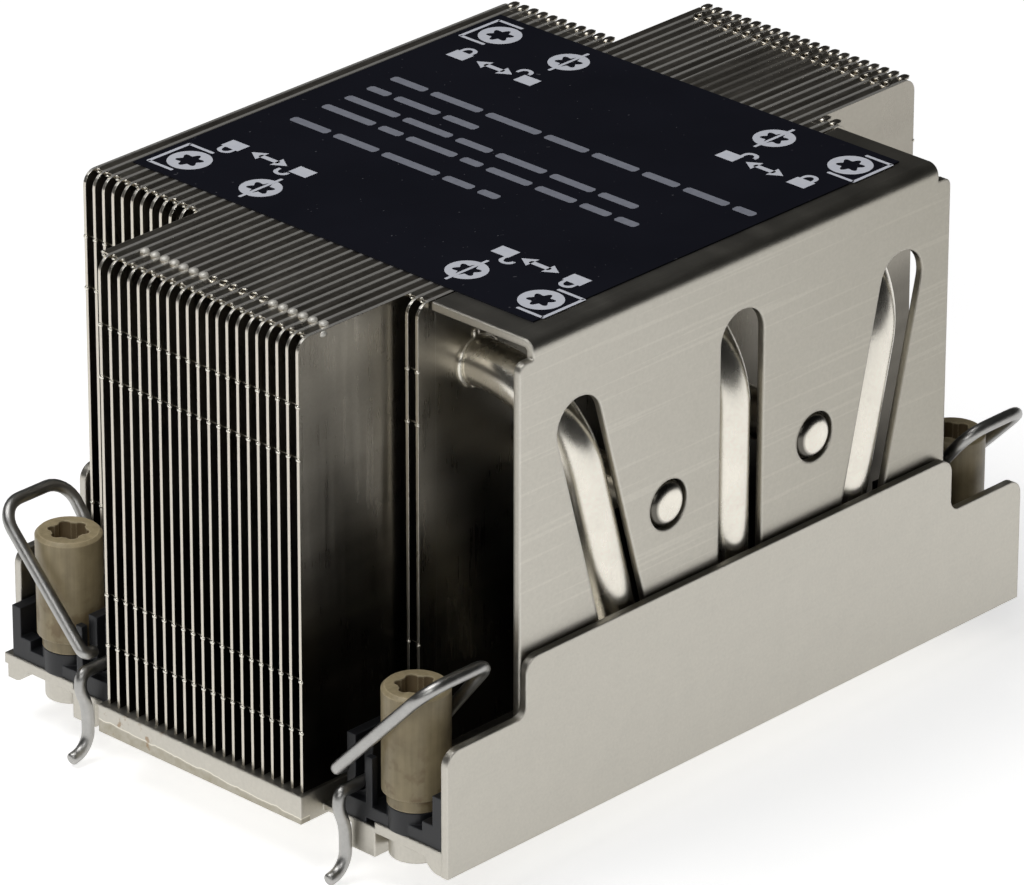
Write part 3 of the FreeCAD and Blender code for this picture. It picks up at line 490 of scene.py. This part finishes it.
# The faces towards the slotted side are painted darker from the foot up, in soft uneven bands: painted
# shade standing for the dark reflection inside the bay
SHADE_TOP = 59 * MM
SHADE_FOOT = 10 * MM
band_place = tree.nodes.new("ShaderNodeVectorMath")
band_place.operation = "MULTIPLY"
band_place.inputs[1].default_value = (16.0, 16.0, 130.0)
tree.links.new(place.outputs["Object"], band_place.inputs[0])
sway = add_math(tree, "MULTIPLY", add_noise(tree, band_place.outputs[0], 1.0, 2.0), 0.03)
shade_fall = tree.nodes.new("ShaderNodeMapRange")
shade_fall.interpolation_type = "SMOOTHSTEP"
shade_fall.inputs["From Min"].default_value = SHADE_TOP
shade_fall.inputs["From Max"].default_value = SHADE_FOOT
shade_fall.inputs["To Min"].default_value = 0.42
shade_fall.inputs["To Max"].default_value = 0.93
tree.links.new(add_math(tree, "ADD", split.outputs["Z"], sway), shade_fall.inputs["Value"])
outward = add_math(tree, "LESS_THAN", tilt.outputs["Y"], -0.7)
painted_bay_shade = add_math(tree, "MULTIPLY", shade_fall.outputs["Result"], outward)
# Painted shade: near-black mixed into the bay-facing fin faces
colour_socket = mix_colour(tree, painted_bay_shade, colour_socket, srgb(30, 26, 20))
tree.links.new(colour_socket, shader.inputs["Base Color"])
for name in nodes:
    if name.startswith("fin_"):
        finish_node(name, fin_nickel)


# Short fins' ends
# The block's short plated fins reach a little past its plain solids, each sheet with its fold and
# rounded corner. The end strips lie close round the solids' own ends.

LONG_STEPS = 10
NEAR_STEPS = 12
FAR_STEPS = 22
FIN_FOOT = 3.62 * MM
FOLD_GAP = 0.06 * MM
FOLD_THICKNESS = 0.4 * MM
LONG_END = 53.0 * MM
BLOCK_END = 36.9 * MM
END_START = 34.0 * MM
CORNER = 1.8 * MM


def new_piece(name, shape, material, body, smooth=True):
    """Object made from a bmesh, finished, and riding on a body."""
    mesh = bpy.data.meshes.new(name)
    bmesh.ops.recalc_face_normals(shape, faces=shape.faces)
    shape.to_mesh(mesh)
    shape.free()
    for face in mesh.polygons:
        face.use_smooth = smooth
    mesh.materials.append(material)
    piece = bpy.data.objects.new(name, mesh)
    bpy.context.scene.collection.objects.link(piece)
    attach(piece, body)
    return piece


def add_sheet(shape, outline, near, far):
    """Flat sheet with an outline of (x, z) places, from one side place to another."""
    front = [shape.verts.new((x, near, z)) for x, z in outline]
    back = [shape.verts.new((x, far, z)) for x, z in outline]
    shape.faces.new(front)
    shape.faces.new(list(reversed(back)))
    for index in range(len(outline)):
        after = (index + 1) % len(outline)
        shape.faces.new((front[index], front[after], back[after], back[index]))


fin_ends = bmesh.new()
for step in range(-NEAR_STEPS, FAR_STEPS + 1):
    if abs(step) <= LONG_STEPS:
        continue
    side = step * FIN_PITCH
    for face in (-1, 1):
        outline = [(face * END_START, FIN_FOOT), (face * BLOCK_END, FIN_FOOT)]
        for index in range(7):
            angle = math.pi / 2 * index / 6
            reach = BLOCK_END - CORNER + CORNER * math.cos(angle)
            outline.append((face * reach, FIN_TOP - CORNER + CORNER * math.sin(angle)))
        outline.append((face * END_START, FIN_TOP))
        add_sheet(fin_ends, outline, side - FIN_HALF - 0.01 * MM, side + FIN_HALF + 0.01 * MM)
        if step < FAR_STEPS:
            fold = [
                (face * END_START, FIN_TOP - FOLD_THICKNESS),
                (face * (BLOCK_END - CORNER), FIN_TOP - FOLD_THICKNESS),
                (face * (BLOCK_END - CORNER), FIN_TOP + 0.005 * MM),
                (face * END_START, FIN_TOP + 0.005 * MM),
            ]
            add_sheet(fin_ends, fold, side, side + FIN_PITCH - FIN_HALF - FOLD_GAP)
new_piece("short_fin_ends", fin_ends, fin_nickel, "heatsink", False)


# Interlock marks and tabs
# Each plated fin is hooked into the next by forms stamped in the sheet: four bright dots down its
# edges, each with a thin tongue, small tabs on the front folds, and rolled ends on the rear ones.

MARK_HEIGHTS = (53.1, 46.4, 18.0, 11.3)
MARK_HALF = (0.16, 0.34, 0.26)
TONGUE_HALF = (0.10, 0.62, 0.045)
TAB_HALF = (0.30, 0.26, 0.10)
ROLL_HALF = (0.90, 0.52, 0.30)


def add_pillow(shape, centre, half_size, round_off=0.45, turn=0.0):
    """Small block with drawn-in corners: four stacked outlines of eight points."""
    size_x, size_y, size_z = (MM * size for size in half_size)
    rings = []
    for rise, shrink in ((-1.0, round_off), (-0.45, 1.0), (0.45, 1.0), (1.0, round_off)):
        ring = []
        for corner in range(8):
            angle = math.pi / 8 + corner * math.pi / 4
            across = max(-1.0, min(1.0, 1.25 * math.cos(angle))) * size_x * shrink
            along = max(-1.0, min(1.0, 1.25 * math.sin(angle))) * size_y * shrink
            spun_x = across * math.cos(turn) - along * math.sin(turn)
            spun_y = across * math.sin(turn) + along * math.cos(turn)
            ring.append(shape.verts.new(centre + Vector((spun_x, spun_y, rise * size_z))))
        rings.append(ring)
    for lower, upper in zip(rings, rings[1:]):
        for index in range(8):
            after = (index + 1) % 8
            shape.faces.new((lower[index], lower[after], upper[after], upper[index]))
    shape.faces.new(list(reversed(rings[0])))
    shape.faces.new(rings[-1])


random.seed(11)
marks = bmesh.new()
tongues = bmesh.new()
tabs = bmesh.new()
for step in range(-NEAR_STEPS, FAR_STEPS + 1):
    end = LONG_END if abs(step) <= LONG_STEPS else BLOCK_END
    side = step * FIN_PITCH
    joined = step < FAR_STEPS and not (step == LONG_STEPS or step == -LONG_STEPS - 1)
    for face in (-1, 1):
        for mark_height in MARK_HEIGHTS:
            spot = Vector((face * (end - 0.02 * MM), side, mark_height * MM))
            add_pillow(marks, spot, MARK_HALF)
            if joined:
                spot = Vector((face * (end - 0.5 * MM), side + FIN_PITCH / 2, mark_height * MM))
                add_pillow(tongues, spot, TONGUE_HALF)
        if step == FAR_STEPS:
            continue
        if face > 0:
            spot = Vector((end - 1.0 * MM, side + FIN_PITCH / 2, FIN_TOP - 0.08 * MM))
            add_pillow(tongues, spot, ROLL_HALF, 0.55)
            continue
        for index in range(2):
            reach = end - (1.3 + 0.6 * index + random.uniform(-0.12, 0.12)) * MM
            spot = Vector((-reach, side + (0.35 + 0.75 * index) * MM, FIN_TOP + 0.03 * MM))
            add_pillow(tabs, spot, TAB_HALF, 0.6, random.uniform(-0.6, 0.6))
bright_nickel = nickel(
    "bright_nickel", srgb(240, 235, 222), 0.24, (400.0, 0.06), 0.0, (1.0, 1.0, 1.0), 0.3
)[0]
new_piece("interlock_marks", marks, bright_nickel, "heatsink")
new_piece("interlock_tongues", tongues, fin_nickel, "heatsink")
new_piece("interlock_tabs", tabs, bright_nickel, "heatsink")


# Lock rows
# Across the long fins' folds, near each end, every fold is locked to the next by a pressed stud.
# The front row is bright round drops with small open loops in its middle, and the rear row is
# a duller chain of loops and drops.


def add_drop(shape, centre, radii, rings=6, sides=12):
    """Round drop with its own radius along each axis."""
    poles = []
    for end in (-1, 1):
        poles.append(shape.verts.new(centre + Vector((0, 0, end * radii[2] * MM))))
    belts = []
    for ring in range(1, rings):
        lift = -math.cos(math.pi * ring / rings)
        reach = math.sin(math.pi * ring / rings)
        belt = []
        for corner in range(sides):
            angle = 2 * math.pi * corner / sides
            spread = (radii[0] * reach * math.cos(angle), radii[1] * reach * math.sin(angle))
            belt.append(shape.verts.new(centre + Vector((*spread, radii[2] * lift)) * MM))
        belts.append(belt)
    for corner in range(sides):
        after = (corner + 1) % sides
        shape.faces.new((poles[0], belts[0][after], belts[0][corner]))
        shape.faces.new((poles[1], belts[-1][corner], belts[-1][after]))
        for lower, upper in zip(belts, belts[1:]):
            shape.faces.new((lower[corner], lower[after], upper[after], upper[corner]))


def add_hoop(
    shape, centre, across, along, hoop_radius, wire_radius, count=20, sides=8, swell=None
):
    """Closed hoop of round wire in the plane of two unit vectors; swell varies its thickness."""
    up = across.cross(along)
    belts = []
    for index in range(count):
        angle = 2 * math.pi * index / count
        outward = across * math.cos(angle) + along * math.sin(angle)
        thick = wire_radius * (swell(angle) if swell else 1.0)
        belt = []
        for corner in range(sides):
            turn = 2 * math.pi * corner / sides
            offset = outward * (hoop_radius + thick * math.cos(turn)) + up * thick * math.sin(turn)
            belt.append(shape.verts.new(centre + offset * MM))
        belts.append(belt)
    for index in range(count):
        first, second = belts[index], belts[(index + 1) % count]
        for corner in range(sides):
            after = (corner + 1) % sides
            shape.faces.new((first[corner], second[corner], second[after], first[after]))


FRONT_ROW = -47.9
REAR_ROW = 48.6
MIDDLE_STEPS = range(-4, 2)
drops = bmesh.new()
loops = bmesh.new()
rear_locks = bmesh.new()
for step in range(-LONG_STEPS, LONG_STEPS):
    side = (step + 0.5) * FIN_PITCH / MM
    tilted = Vector((math.cos(0.9), math.sin(0.9), 0.25)).normalized()
    sideways = Vector((-tilted.y, tilted.x, 0.0)).normalized()
    for row in (FRONT_ROW, REAR_ROW):
        centre = Vector((row + random.uniform(-0.08, 0.08), side, FIN_TOP / MM + 0.08)) * MM
        if row > 0:
            add_hoop(rear_locks, centre, tilted, sideways, 0.52, 0.17)
            add_drop(rear_locks, centre + Vector((1.1, 0.3, -0.05)) * MM, (0.55, 0.40, 0.30))
            continue
        if step in MIDDLE_STEPS:
            add_hoop(loops, centre, tilted, sideways, 0.48, 0.13)
            continue
        if step < LONG_STEPS - 1:
            add_drop(drops, centre, (0.64, 0.60, 0.40))
# One more drop hangs over the corner of the outermost long fin
corner_side = -(LONG_STEPS * FIN_PITCH / MM) - 0.15
corner_drop = Vector((FRONT_ROW - 1.1, corner_side, FIN_TOP / MM - 0.45)) * MM
add_drop(drops, corner_drop, (0.55, 0.45, 0.40))
white_nickel, tree, shader, colour_socket = nickel(
    "white_nickel", srgb(240, 237, 228), 0.42, (500.0, 0.05), 0.0, (1.0, 1.0, 1.0), 0.3
)
shader.inputs["Metallic"].default_value = 0.3
new_piece("lock_drops", drops, white_nickel, "heatsink")
new_piece("lock_loops", loops, bright_nickel, "heatsink")
new_piece("rear_locks", rear_locks, fin_nickel, "heatsink")


# Heat pipes
# Bright nickel-plated copper tubes, bent once in a wide arc. Where the three bay pipes enter the
# stack, solder has wetted up round them in an uneven collar with a small drip above it.

pipe_nickel, tree, shader, colour_socket = nickel(
    "pipe_nickel", srgb(230, 225, 213), 0.26, (260.0, 0.16), 0.05, (700.0, 700.0, 30.0), 0.35
)
# The far pipes' ends in the cover's holes are dark round a bright middle
place = tree.nodes.new("ShaderNodeTexCoord")
split = tree.nodes.new("ShaderNodeSeparateXYZ")
tree.links.new(place.outputs["Object"], split.inputs[0])
FAR_PIPE_HEIGHT = 33.1 * MM
HOLE_EDGE = 3.4 * MM
COVER_INSIDE = -35.5 * MM
rise = add_math(tree, "SUBTRACT", split.outputs["Z"], FAR_PIPE_HEIGHT)
nearest = None
for name in ("heat_pipe_4", "heat_pipe_5"):
    low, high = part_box(name)
    aside = add_math(tree, "SUBTRACT", split.outputs["X"], (low[0] + high[0]) / 2)
    aside = add_math(tree, "MULTIPLY", aside, aside)
    away = add_math(tree, "ADD", aside, add_math(tree, "MULTIPLY", rise, rise))
    away = add_math(tree, "SQRT", away)
    nearest = away if nearest is None else add_math(tree, "MINIMUM", nearest, away)
ring = tree.nodes.new("ShaderNodeMapRange")
ring.inputs["From Min"].default_value = 1.9 * MM
ring.inputs["From Max"].default_value = 2.3 * MM
tree.links.new(nearest, ring.inputs["Value"])
at_hole = add_math(tree, "LESS_THAN", split.outputs["Y"], COVER_INSIDE)
at_hole = add_math(tree, "MULTIPLY", at_hole, add_math(tree, "LESS_THAN", nearest, HOLE_EDGE))
ringed = add_math(tree, "MULTIPLY", ring.outputs["Result"], at_hole)
ringed = add_math(tree, "MULTIPLY", ringed, 0.85)
colour_socket = mix_colour(tree, ringed, colour_socket, srgb(38, 34, 28))
tree.links.new(colour_socket, shader.inputs["Base Color"])
for name in nodes:
    if name.startswith("heat_pipe_"):
        finish_node(name, pipe_nickel)


def bend_path(corners, steps=8):
    """Path through straight runs, with an arc of its own radius at each corner."""
    places = [Vector(corner[:3]) for corner in corners]
    path = [places[0]]
    for before, here, after, corner in zip(places, places[1:], places[2:], corners[1:]):
        back = before - here
        on = after - here
        bend = math.pi - back.angle(on)
        reach = min(corner[3] * math.tan(bend / 2), 0.49 * back.length, 0.49 * on.length)
        radius = reach / math.tan(bend / 2)
        inward = (back.normalized() + on.normalized()).normalized()
        middle = here + inward * radius / math.cos(bend / 2)
        first = (here + back.normalized() * reach - middle).normalized()
        last = (here + on.normalized() * reach - middle).normalized()
        for index in range(steps + 1):
            path.append(middle + first.slerp(last, index / steps) * radius)
    path.append(places[-1])
    return path


def add_wire(shape, path, radius, sides=14):
    """Round wire along a path, with slightly domed cut ends."""
    ahead = (path[1] - path[0]).normalized()
    across = ahead.orthogonal().normalized()
    belts = []
    last = len(path) - 1
    for index, spot in enumerate(path):
        tangent = (path[min(index + 1, last)] - path[max(index - 1, 0)]).normalized()
        across = (across - tangent * across.dot(tangent)).normalized()
        along = tangent.cross(across)
        stops = [(0.0, 1.0)]
        if index == 0:
            stops = [(0.0, 0.55), (0.12, 0.85), (0.35, 1.0)]
        elif index == last:
            stops = [(-0.35, 1.0), (-0.12, 0.85), (0.0, 0.55)]
        for shift, size in stops:
            belt = []
            for corner in range(sides):
                angle = 2 * math.pi * corner / sides
                offset = (across * math.cos(angle) + along * math.sin(angle)) * radius * size
                belt.append(shape.verts.new((spot + tangent * shift * radius + offset) * MM))
            belts.append(belt)
    for first, second in zip(belts, belts[1:]):
        for corner in range(sides):
            after = (corner + 1) % sides
            shape.faces.new((first[corner], first[after], second[after], second[corner]))
    shape.faces.new(list(reversed(belts[0])))
    shape.faces.new(belts[-1])


# Place along the airflow where each bay pipe enters the stack, and of its foot
BAY_PIPES = ((-27.1, -13.24), (0.9, 0.9), (28.9, 17.34))
BAY_PIPE_SIDE = -32.95
BAY_PIPE_HEIGHT = 51.5
STACK_FACE = -19.64
PIPE_RADIUS = 3.0
PIPE_BEND = 12.6
for number, (top_x, foot_x) in enumerate(BAY_PIPES, start=1):
    low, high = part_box(f"heat_pipe_{number}")
    route = (
        (foot_x, BAY_PIPE_SIDE, low[2] / MM + 0.4, 0.0),
        (top_x, BAY_PIPE_SIDE, BAY_PIPE_HEIGHT, PIPE_BEND),
        (top_x, high[1] / MM, BAY_PIPE_HEIGHT, 0.0),
    )
    tube = bmesh.new()
    add_wire(tube, bend_path(route, 24), PIPE_RADIUS, 40)
    bent_pipe = new_piece(f"bent_pipe_{number}", tube, pipe_nickel, "heatsink")
    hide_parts(f"heat_pipe_{number}")


def collar_swell(angle):
    """Uneven thickness round the collar."""
    return 1.0 + 0.25 * math.sin(2 * angle + 0.6) + 0.15 * math.sin(5 * angle)


collars = bmesh.new()
for top_x, _ in BAY_PIPES:
    centre = Vector((top_x, STACK_FACE - 0.12, BAY_PIPE_HEIGHT)) * MM
    axes = (Vector((1, 0, 0)), Vector((0, 0, 1)))
    add_hoop(collars, centre, *axes, PIPE_RADIUS + 0.12, 0.34, 48, 8, collar_swell)
    drip = centre + Vector((-0.3, 0.0, PIPE_RADIUS + 0.55)) * MM
    add_drop(collars, drip, (0.55, 0.22, 0.75))
new_piece("pipe_collars", collars, bright_nickel, "heatsink")


# Slotted cover
# One bent plated sheet with a flange level with the fins' tops, soldered over the bay. Its side keeps
# faint slanted rolling marks and a fine mottle, and carries painted shade that makes it a little darker
# towards the rear.

cover_nickel, tree, shader, colour_socket = nickel(
    "cover_nickel",
    srgb(192, 188, 178),
    0.36,
    (110.0, 0.05),
    0.05,
    (200.0, 1.0, 1400.0),
    0.3,
    (0.0005, 0.5),
    0.035,
)
place = tree.nodes.new("ShaderNodeTexCoord")
split = tree.nodes.new("ShaderNodeSeparateXYZ")
tree.links.new(place.outputs["Object"], split.inputs[0])
# Painted shade: the colour darkens towards the rear
rear_shade = tree.nodes.new("ShaderNodeMapRange")
COVER_END = 36 * MM
rear_shade.inputs["From Min"].default_value = -COVER_END
rear_shade.inputs["From Max"].default_value = COVER_END
tree.links.new(split.outputs["X"], rear_shade.inputs["Value"])
colour_socket = mix_colour(
    tree, rear_shade.outputs["Result"], colour_socket, srgb(226, 225, 222), "MULTIPLY"
)
tree.links.new(colour_socket, shader.inputs["Base Color"])
finish_node("slotted_cover", cover_nickel)


# Instruction film
# A thin dark film with a printed face, stuck on the folds. It carries four plain corner signs for
# the nuts and wires, and rows of plain bars.

label_black, tree, shader = new_material("label_black")
place = tree.nodes.new("ShaderNodeTexCoord")
dust = add_noise(tree, place.outputs["Object"], 1500.0, 1.0)
dusty = tree.nodes.new("ShaderNodeMapRange")
dusty.inputs["From Min"].default_value = 0.27
dusty.inputs["From Max"].default_value = 0.31
dusty.inputs["To Max"].default_value = 0.5
tree.links.new(dust, dusty.inputs["Value"])
cloud = add_noise(tree, place.outputs["Object"], 60.0, 3.0)
film_shade = mix_colour(
    tree, add_math(tree, "ADD", cloud, 0.5), srgb(18, 19, 28), srgb(30, 31, 41)
)
film_shade = mix_colour(tree, dusty.outputs["Result"], film_shade, srgb(120, 120, 126))
tree.links.new(film_shade, shader.inputs["Base Color"])
shader.inputs["Roughness"].default_value = 0.38
shader.inputs["Specular IOR Level"].default_value = 0.12
finish_node("label_film", label_black)

label_print, tree, shader = new_material("label_print")
place = tree.nodes.new("ShaderNodeTexCoord")
print_noise = add_math(tree, "ADD", add_noise(tree, place.outputs["Object"], 1400.0, 2.0), 0.5)
tree.links.new(
    mix_colour(tree, print_noise, srgb(226, 230, 244), srgb(244, 246, 252)), shader.inputs["Base Color"]
)
shader.inputs["Roughness"].default_value = 0.5
word_grey, tree, shader = new_material("word_grey")
place = tree.nodes.new("ShaderNodeTexCoord")
print_noise = add_math(tree, "ADD", add_noise(tree, place.outputs["Object"], 1400.0, 2.0), 0.5)
tree.links.new(
    mix_colour(tree, print_noise, srgb(132, 135, 148), srgb(158, 161, 172)), shader.inputs["Base Color"]
)
shader.inputs["Roughness"].default_value = 0.5

FILM_TOP = 61.67
INK = 0.012


def ink_points(shape, places, layer=1):
    """Vertices at places in millimetres on the film, raised by so many layers of ink."""
    return [shape.verts.new(Vector((x, y, FILM_TOP + layer * INK)) * MM) for x, y in places]


def round_outline(centre, radius, lobes=0, depth=0.0, count=72):
    """Circle, or a star with soft points, about a centre."""
    outline = []
    for index in range(count):
        angle = 2 * math.pi * index / count
        reach = radius + depth * math.cos(lobes * angle)
        outline.append((centre[0] + reach * math.cos(angle), centre[1] + reach * math.sin(angle)))
    return outline


def ink_band(shape, inner, outer):
    """Flat printed band between two outlines that have the same number of points."""
    first = ink_points(shape, inner)
    second = ink_points(shape, outer)
    for index in range(len(first)):
        after = (index + 1) % len(first)
        shape.faces.new((first[index], second[index], second[after], first[after]))


def ink_bar(shape, start, end, width, layer=1):
    """Flat printed bar with cut corners between two places."""
    run = Vector((end[0] - start[0], end[1] - start[1]))
    run.normalize()
    side = Vector((-run.y, run.x)) * width / 2
    cut = width * 0.22
    corners = []
    for base, forward, sign in ((start, -1, 1), (end, 1, 1), (end, 1, -1), (start, -1, -1)):
        spot = Vector(base)
        pair = [spot + side * sign - run * forward * cut, spot + side * sign * 0.55]
        corners += pair if forward < 0 and sign < 0 or forward > 0 and sign > 0 else pair[::-1]
    shape.faces.new(ink_points(shape, [tuple(corner) for corner in corners], layer))


def ink_lock(shape, centre, up, is_open):
    """Padlock from a block and a bow; the open one has its bow swung out to the side."""
    x, y = centre
    low, high = x - up * 1.1, x + up * 1.0
    block = [(low, y - 1.4), (high, y - 1.4), (high, y + 1.4), (low, y + 1.4)]
    shape.faces.new(ink_points(shape, block))
    shift = math.copysign(1.9, y) if is_open else 0.0
    inner, outer = [], []
    for index in range(13):
        angle = math.pi * index / 12
        lift = up * (1.3 + 0.9 * math.sin(angle))
        inner.append((x + lift - up * 0.15, y + shift + 0.62 * math.cos(angle)))
        outer.append((x + lift + up * 0.35, y + shift + 1.08 * math.cos(angle)))
    foot = x + up * (1.3 if is_open else 1.0)
    first = ink_points(shape, [(high, inner[0][1])] + inner + [(foot, inner[-1][1])])
    second = ink_points(shape, [(high, outer[0][1])] + outer + [(foot, outer[-1][1])])
    for index in range(len(first) - 1):
        shape.faces.new((first[index], second[index], second[index + 1], first[index + 1]))


signs = bmesh.new()
words = bmesh.new()
for along in (-1, 1):
    for out in (-1, 1):
        # The film's rear signs lie a little further out than its front ones
        socket = (27.2 * along if along > 0 else -26.1, 28.8 * out)
        ink_band(signs, round_outline(socket, 1.45, 6, 0.32), round_outline(socket, 2.75))
        edge_y = socket[1] + 3.5 * out
        back_y = socket[1] - 0.6 * out
        ink_bar(signs, (socket[0] - 3.6, edge_y), (socket[0] + 3.6, edge_y), 0.5)
        for end in (-3.4, 3.4):
            ink_bar(signs, (socket[0] + end, edge_y), (socket[0] + end, back_y), 0.5)
        turned = (26.9 * along if along > 0 else -26.0, 16.9 * out)
        ink_band(signs, round_outline(turned, 1.45, 6, 0.32), round_outline(turned, 2.6))
        ink_bar(signs, (turned[0] - 3.6, turned[1]), (turned[0] + 3.6, turned[1]), 0.45, 2)
        lock_x = 19.3 * along
        ink_lock(signs, (lock_x, 28.0 * out), along, False)
        ink_lock(signs, (lock_x, 16.6 * out), along, True)
        arrow_y = 22.2 * out
        ink_bar(signs, (lock_x, arrow_y - 1.6), (lock_x, arrow_y + 1.6), 0.75)
        for end in (-1, 1):
            signs.faces.new(
                ink_points(
                    signs,
                    [
                        (lock_x - 1.15, arrow_y + end * 1.2),
                        (lock_x + 1.15, arrow_y + end * 1.2),
                        (lock_x, arrow_y + end * 3.0),
                    ],
                )
            )
# Rows of bars: place along the film, start and end
WORD_ROWS = (
    (8.5, 29.0, -30.4),
    (4.4, 29.0, 10.8),
    (0.5, 28.9, -19.0),
    (-3.3, 29.0, -22.6),
    (-8.7, 29.0, -8.0),
)
for row_x, start_y, end_y in WORD_ROWS:
    y = start_y
    while y > end_y + 2.0:
        length = min(random.uniform(3.0, 9.5), y - end_y)
        ink_bar(words, (row_x, y), (row_x, y - length), 1.35)
        y -= length + 1.1
new_piece("film_signs", signs, label_print, "heatsink", False)
new_piece("film_word_bars", words, word_grey, "heatsink", False)


# Captive nuts
# Moulded beige posts with a six-lobe socket and a neck at the foot, held loosely by their clips.
# The plastic is satin and a little mottled and browner near the foot; the socket's inside is darkened
# with painted shade, and the rim's light edge is partly wear and partly painted highlight.

nut_plastic, tree, shader = new_material("nut_plastic")
place = tree.nodes.new("ShaderNodeTexCoord")
upright = tree.nodes.new("ShaderNodeVectorMath")
upright.operation = "MULTIPLY"
upright.inputs[1].default_value = (1500.0, 1500.0, 90.0)
tree.links.new(place.outputs["Object"], upright.inputs[0])
cloud = add_noise(tree, place.outputs["Object"], 420.0, 4.0)
streaks = add_noise(tree, upright.outputs[0], 1.0, 3.0)
change = add_math(tree, "ADD", add_math(tree, "ADD", cloud, streaks), 0.5)
skin = mix_colour(tree, change, srgb(146, 132, 102), srgb(192, 176, 140))
split = tree.nodes.new("ShaderNodeSeparateXYZ")
tree.links.new(place.outputs["Object"], split.inputs[0])
lower = tree.nodes.new("ShaderNodeMapRange")
lower.inputs["From Min"].default_value = 0.017
lower.inputs["From Max"].default_value = 0.007
tree.links.new(split.outputs["Z"], lower.inputs["Value"])
blotch = tree.nodes.new("ShaderNodeMapRange")
blotch.inputs["From Min"].default_value = 0.02
blotch.inputs["From Max"].default_value = 0.12
tree.links.new(add_noise(tree, place.outputs["Object"], 380.0, 3.0), blotch.inputs["Value"])
browned = add_math(tree, "MULTIPLY", lower.outputs["Result"], blotch.outputs["Result"])
browned = add_math(tree, "MULTIPLY", browned, 0.6)
skin = mix_colour(tree, browned, skin, srgb(112, 84, 46))
low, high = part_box("captive_nut_4")
from_axis = []
for label, axis in (("X", 0), ("Y", 1)):
    aside = add_math(tree, "ABSOLUTE", split.outputs[label])
    aside = add_math(tree, "SUBTRACT", aside, (low[axis] + high[axis]) / 2)
    from_axis.append(add_math(tree, "MULTIPLY", aside, aside))
# Painted shade: the inside of each socket, below its rim, is coloured dark brown
SOCKET_REACH = 3.3 * MM
SOCKET_TOP = 19.9 * MM
inner = add_math(tree, "LESS_THAN", add_math(tree, "ADD", *from_axis), SOCKET_REACH**2)
below_rim = add_math(tree, "LESS_THAN", split.outputs["Z"], SOCKET_TOP)
inner = add_math(tree, "MULTIPLY", inner, below_rim)
skin = mix_colour(tree, add_math(tree, "MULTIPLY", inner, 0.6), skin, srgb(92, 66, 36))
# Light rim and edges: partly wear, partly painted highlight
edges = place_group(tree, edge_wear_and_highlight, (), (("Width", 0.0003),))
wear_and_highlight = add_math(tree, "MULTIPLY", edges.outputs["Edge"], 0.8)
tree.links.new(mix_colour(tree, wear_and_highlight, skin, srgb(238, 222, 184)), shader.inputs["Base Color"])
shader.inputs["Roughness"].default_value = 0.42
relief = tree.nodes.new("ShaderNodeBump")
relief.inputs["Strength"].default_value = 0.3
relief.inputs["Distance"].default_value = 0.00003
tree.links.new(add_noise(tree, place.outputs["Object"], 2500.0, 2.0), relief.inputs["Height"])
tree.links.new(edges.outputs["Normal"], relief.inputs["Normal"])
tree.links.new(relief.outputs[0], shader.inputs["Normal"])
for name in nodes:
    if name.startswith("captive_nut_"):
        finish_node(name, nut_plastic)


# Nut clips
# Moulded charcoal plastic with a fine matt grain and slightly lighter edges, partly wear and partly
# painted highlight. Each clip sits on its ear, round a nut, and holds the wire in a bore.

clip_plastic, tree, shader = new_material("clip_plastic")
place = tree.nodes.new("ShaderNodeTexCoord")
edges = place_group(tree, edge_wear_and_highlight, (), (("Width", 0.00025),))
# Lighter edges: partly wear, partly painted highlight
wear_and_highlight = add_math(tree, "MULTIPLY", edges.outputs["Edge"], 0.3)
skin = mix_colour(tree, wear_and_highlight, srgb(27, 28, 31), srgb(110, 113, 122))
tree.links.new(skin, shader.inputs["Base Color"])
shader.inputs["Roughness"].default_value = 0.45
relief = tree.nodes.new("ShaderNodeBump")
relief.inputs["Strength"].default_value = 0.3
relief.inputs["Distance"].default_value = 0.00003
tree.links.new(add_noise(tree, place.outputs["Object"], 3000.0, 2.0), relief.inputs["Height"])
tree.links.new(edges.outputs["Normal"], relief.inputs["Normal"])
tree.links.new(relief.outputs[0], shader.inputs["Normal"])
for name in nodes:
    if name.startswith("nut_clip_"):
        finish_node(name, clip_plastic)


# Wire bails
# Drawn spring-steel wire, bent cold to soft corners, with faint drawing lines and a satin skin.
# Each one runs through its clip's bore, and stands for the plain mitred wire of the same body.

NUT_REACH = 47.0
PIVOT_OUT = 21.7
PIVOT_HEIGHT = 5.4
WIRE_RADIUS = 0.78


def bail_corners(handle_out, handle_up):
    """Corners of one wire: reach past the nut, distance out and up from the pivot, bend radius."""
    return (
        (7.4, 0.0, -10.9, 0.0),
        (5.6, 0.0, -10.5, 2.6),
        (4.4, 0.0, -8.9, 3.0),
        (4.4, 0.0, -4.8, 9.0),
        (5.6, 0.0, -1.9, 4.0),
        (5.2, 0.0, 0.0, 1.3),
        (-5.4, 0.0, 0.0, 1.5),
        (-5.4, handle_out, handle_up, 3.2),
        (5.4, handle_out, handle_up, 3.2),
        (5.4, -0.7, 2.7, 1.4),
        (3.5, -0.7, 2.7, 0.0),
    )


wire_steel = nickel(
    "wire_steel", srgb(172, 171, 168), 0.36, (700.0, 0.14), 0.10, (1200.0, 1200.0, 1200.0), 0.5
)[0]
for number, (along, out) in enumerate(((-1, -1), (-1, 1), (1, -1), (1, 1)), start=1):
    placed = []
    # The wires on the slotted side are bent a little wider
    corners = bail_corners(14.3, 18.2) if out < 0 else bail_corners(13.5, 17.6)
    for spot in bend_path(corners):
        placed.append(
            Vector((along * (NUT_REACH + spot.x), out * (PIVOT_OUT + spot.y), PIVOT_HEIGHT + spot.z))
        )
    wire = bmesh.new()
    add_wire(wire, placed, WIRE_RADIUS)
    bail = new_piece(f"bent_bail_{number}", wire, wire_steel, f"bail_{number}")
    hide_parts(f"anti_tilt_bail_{number}")
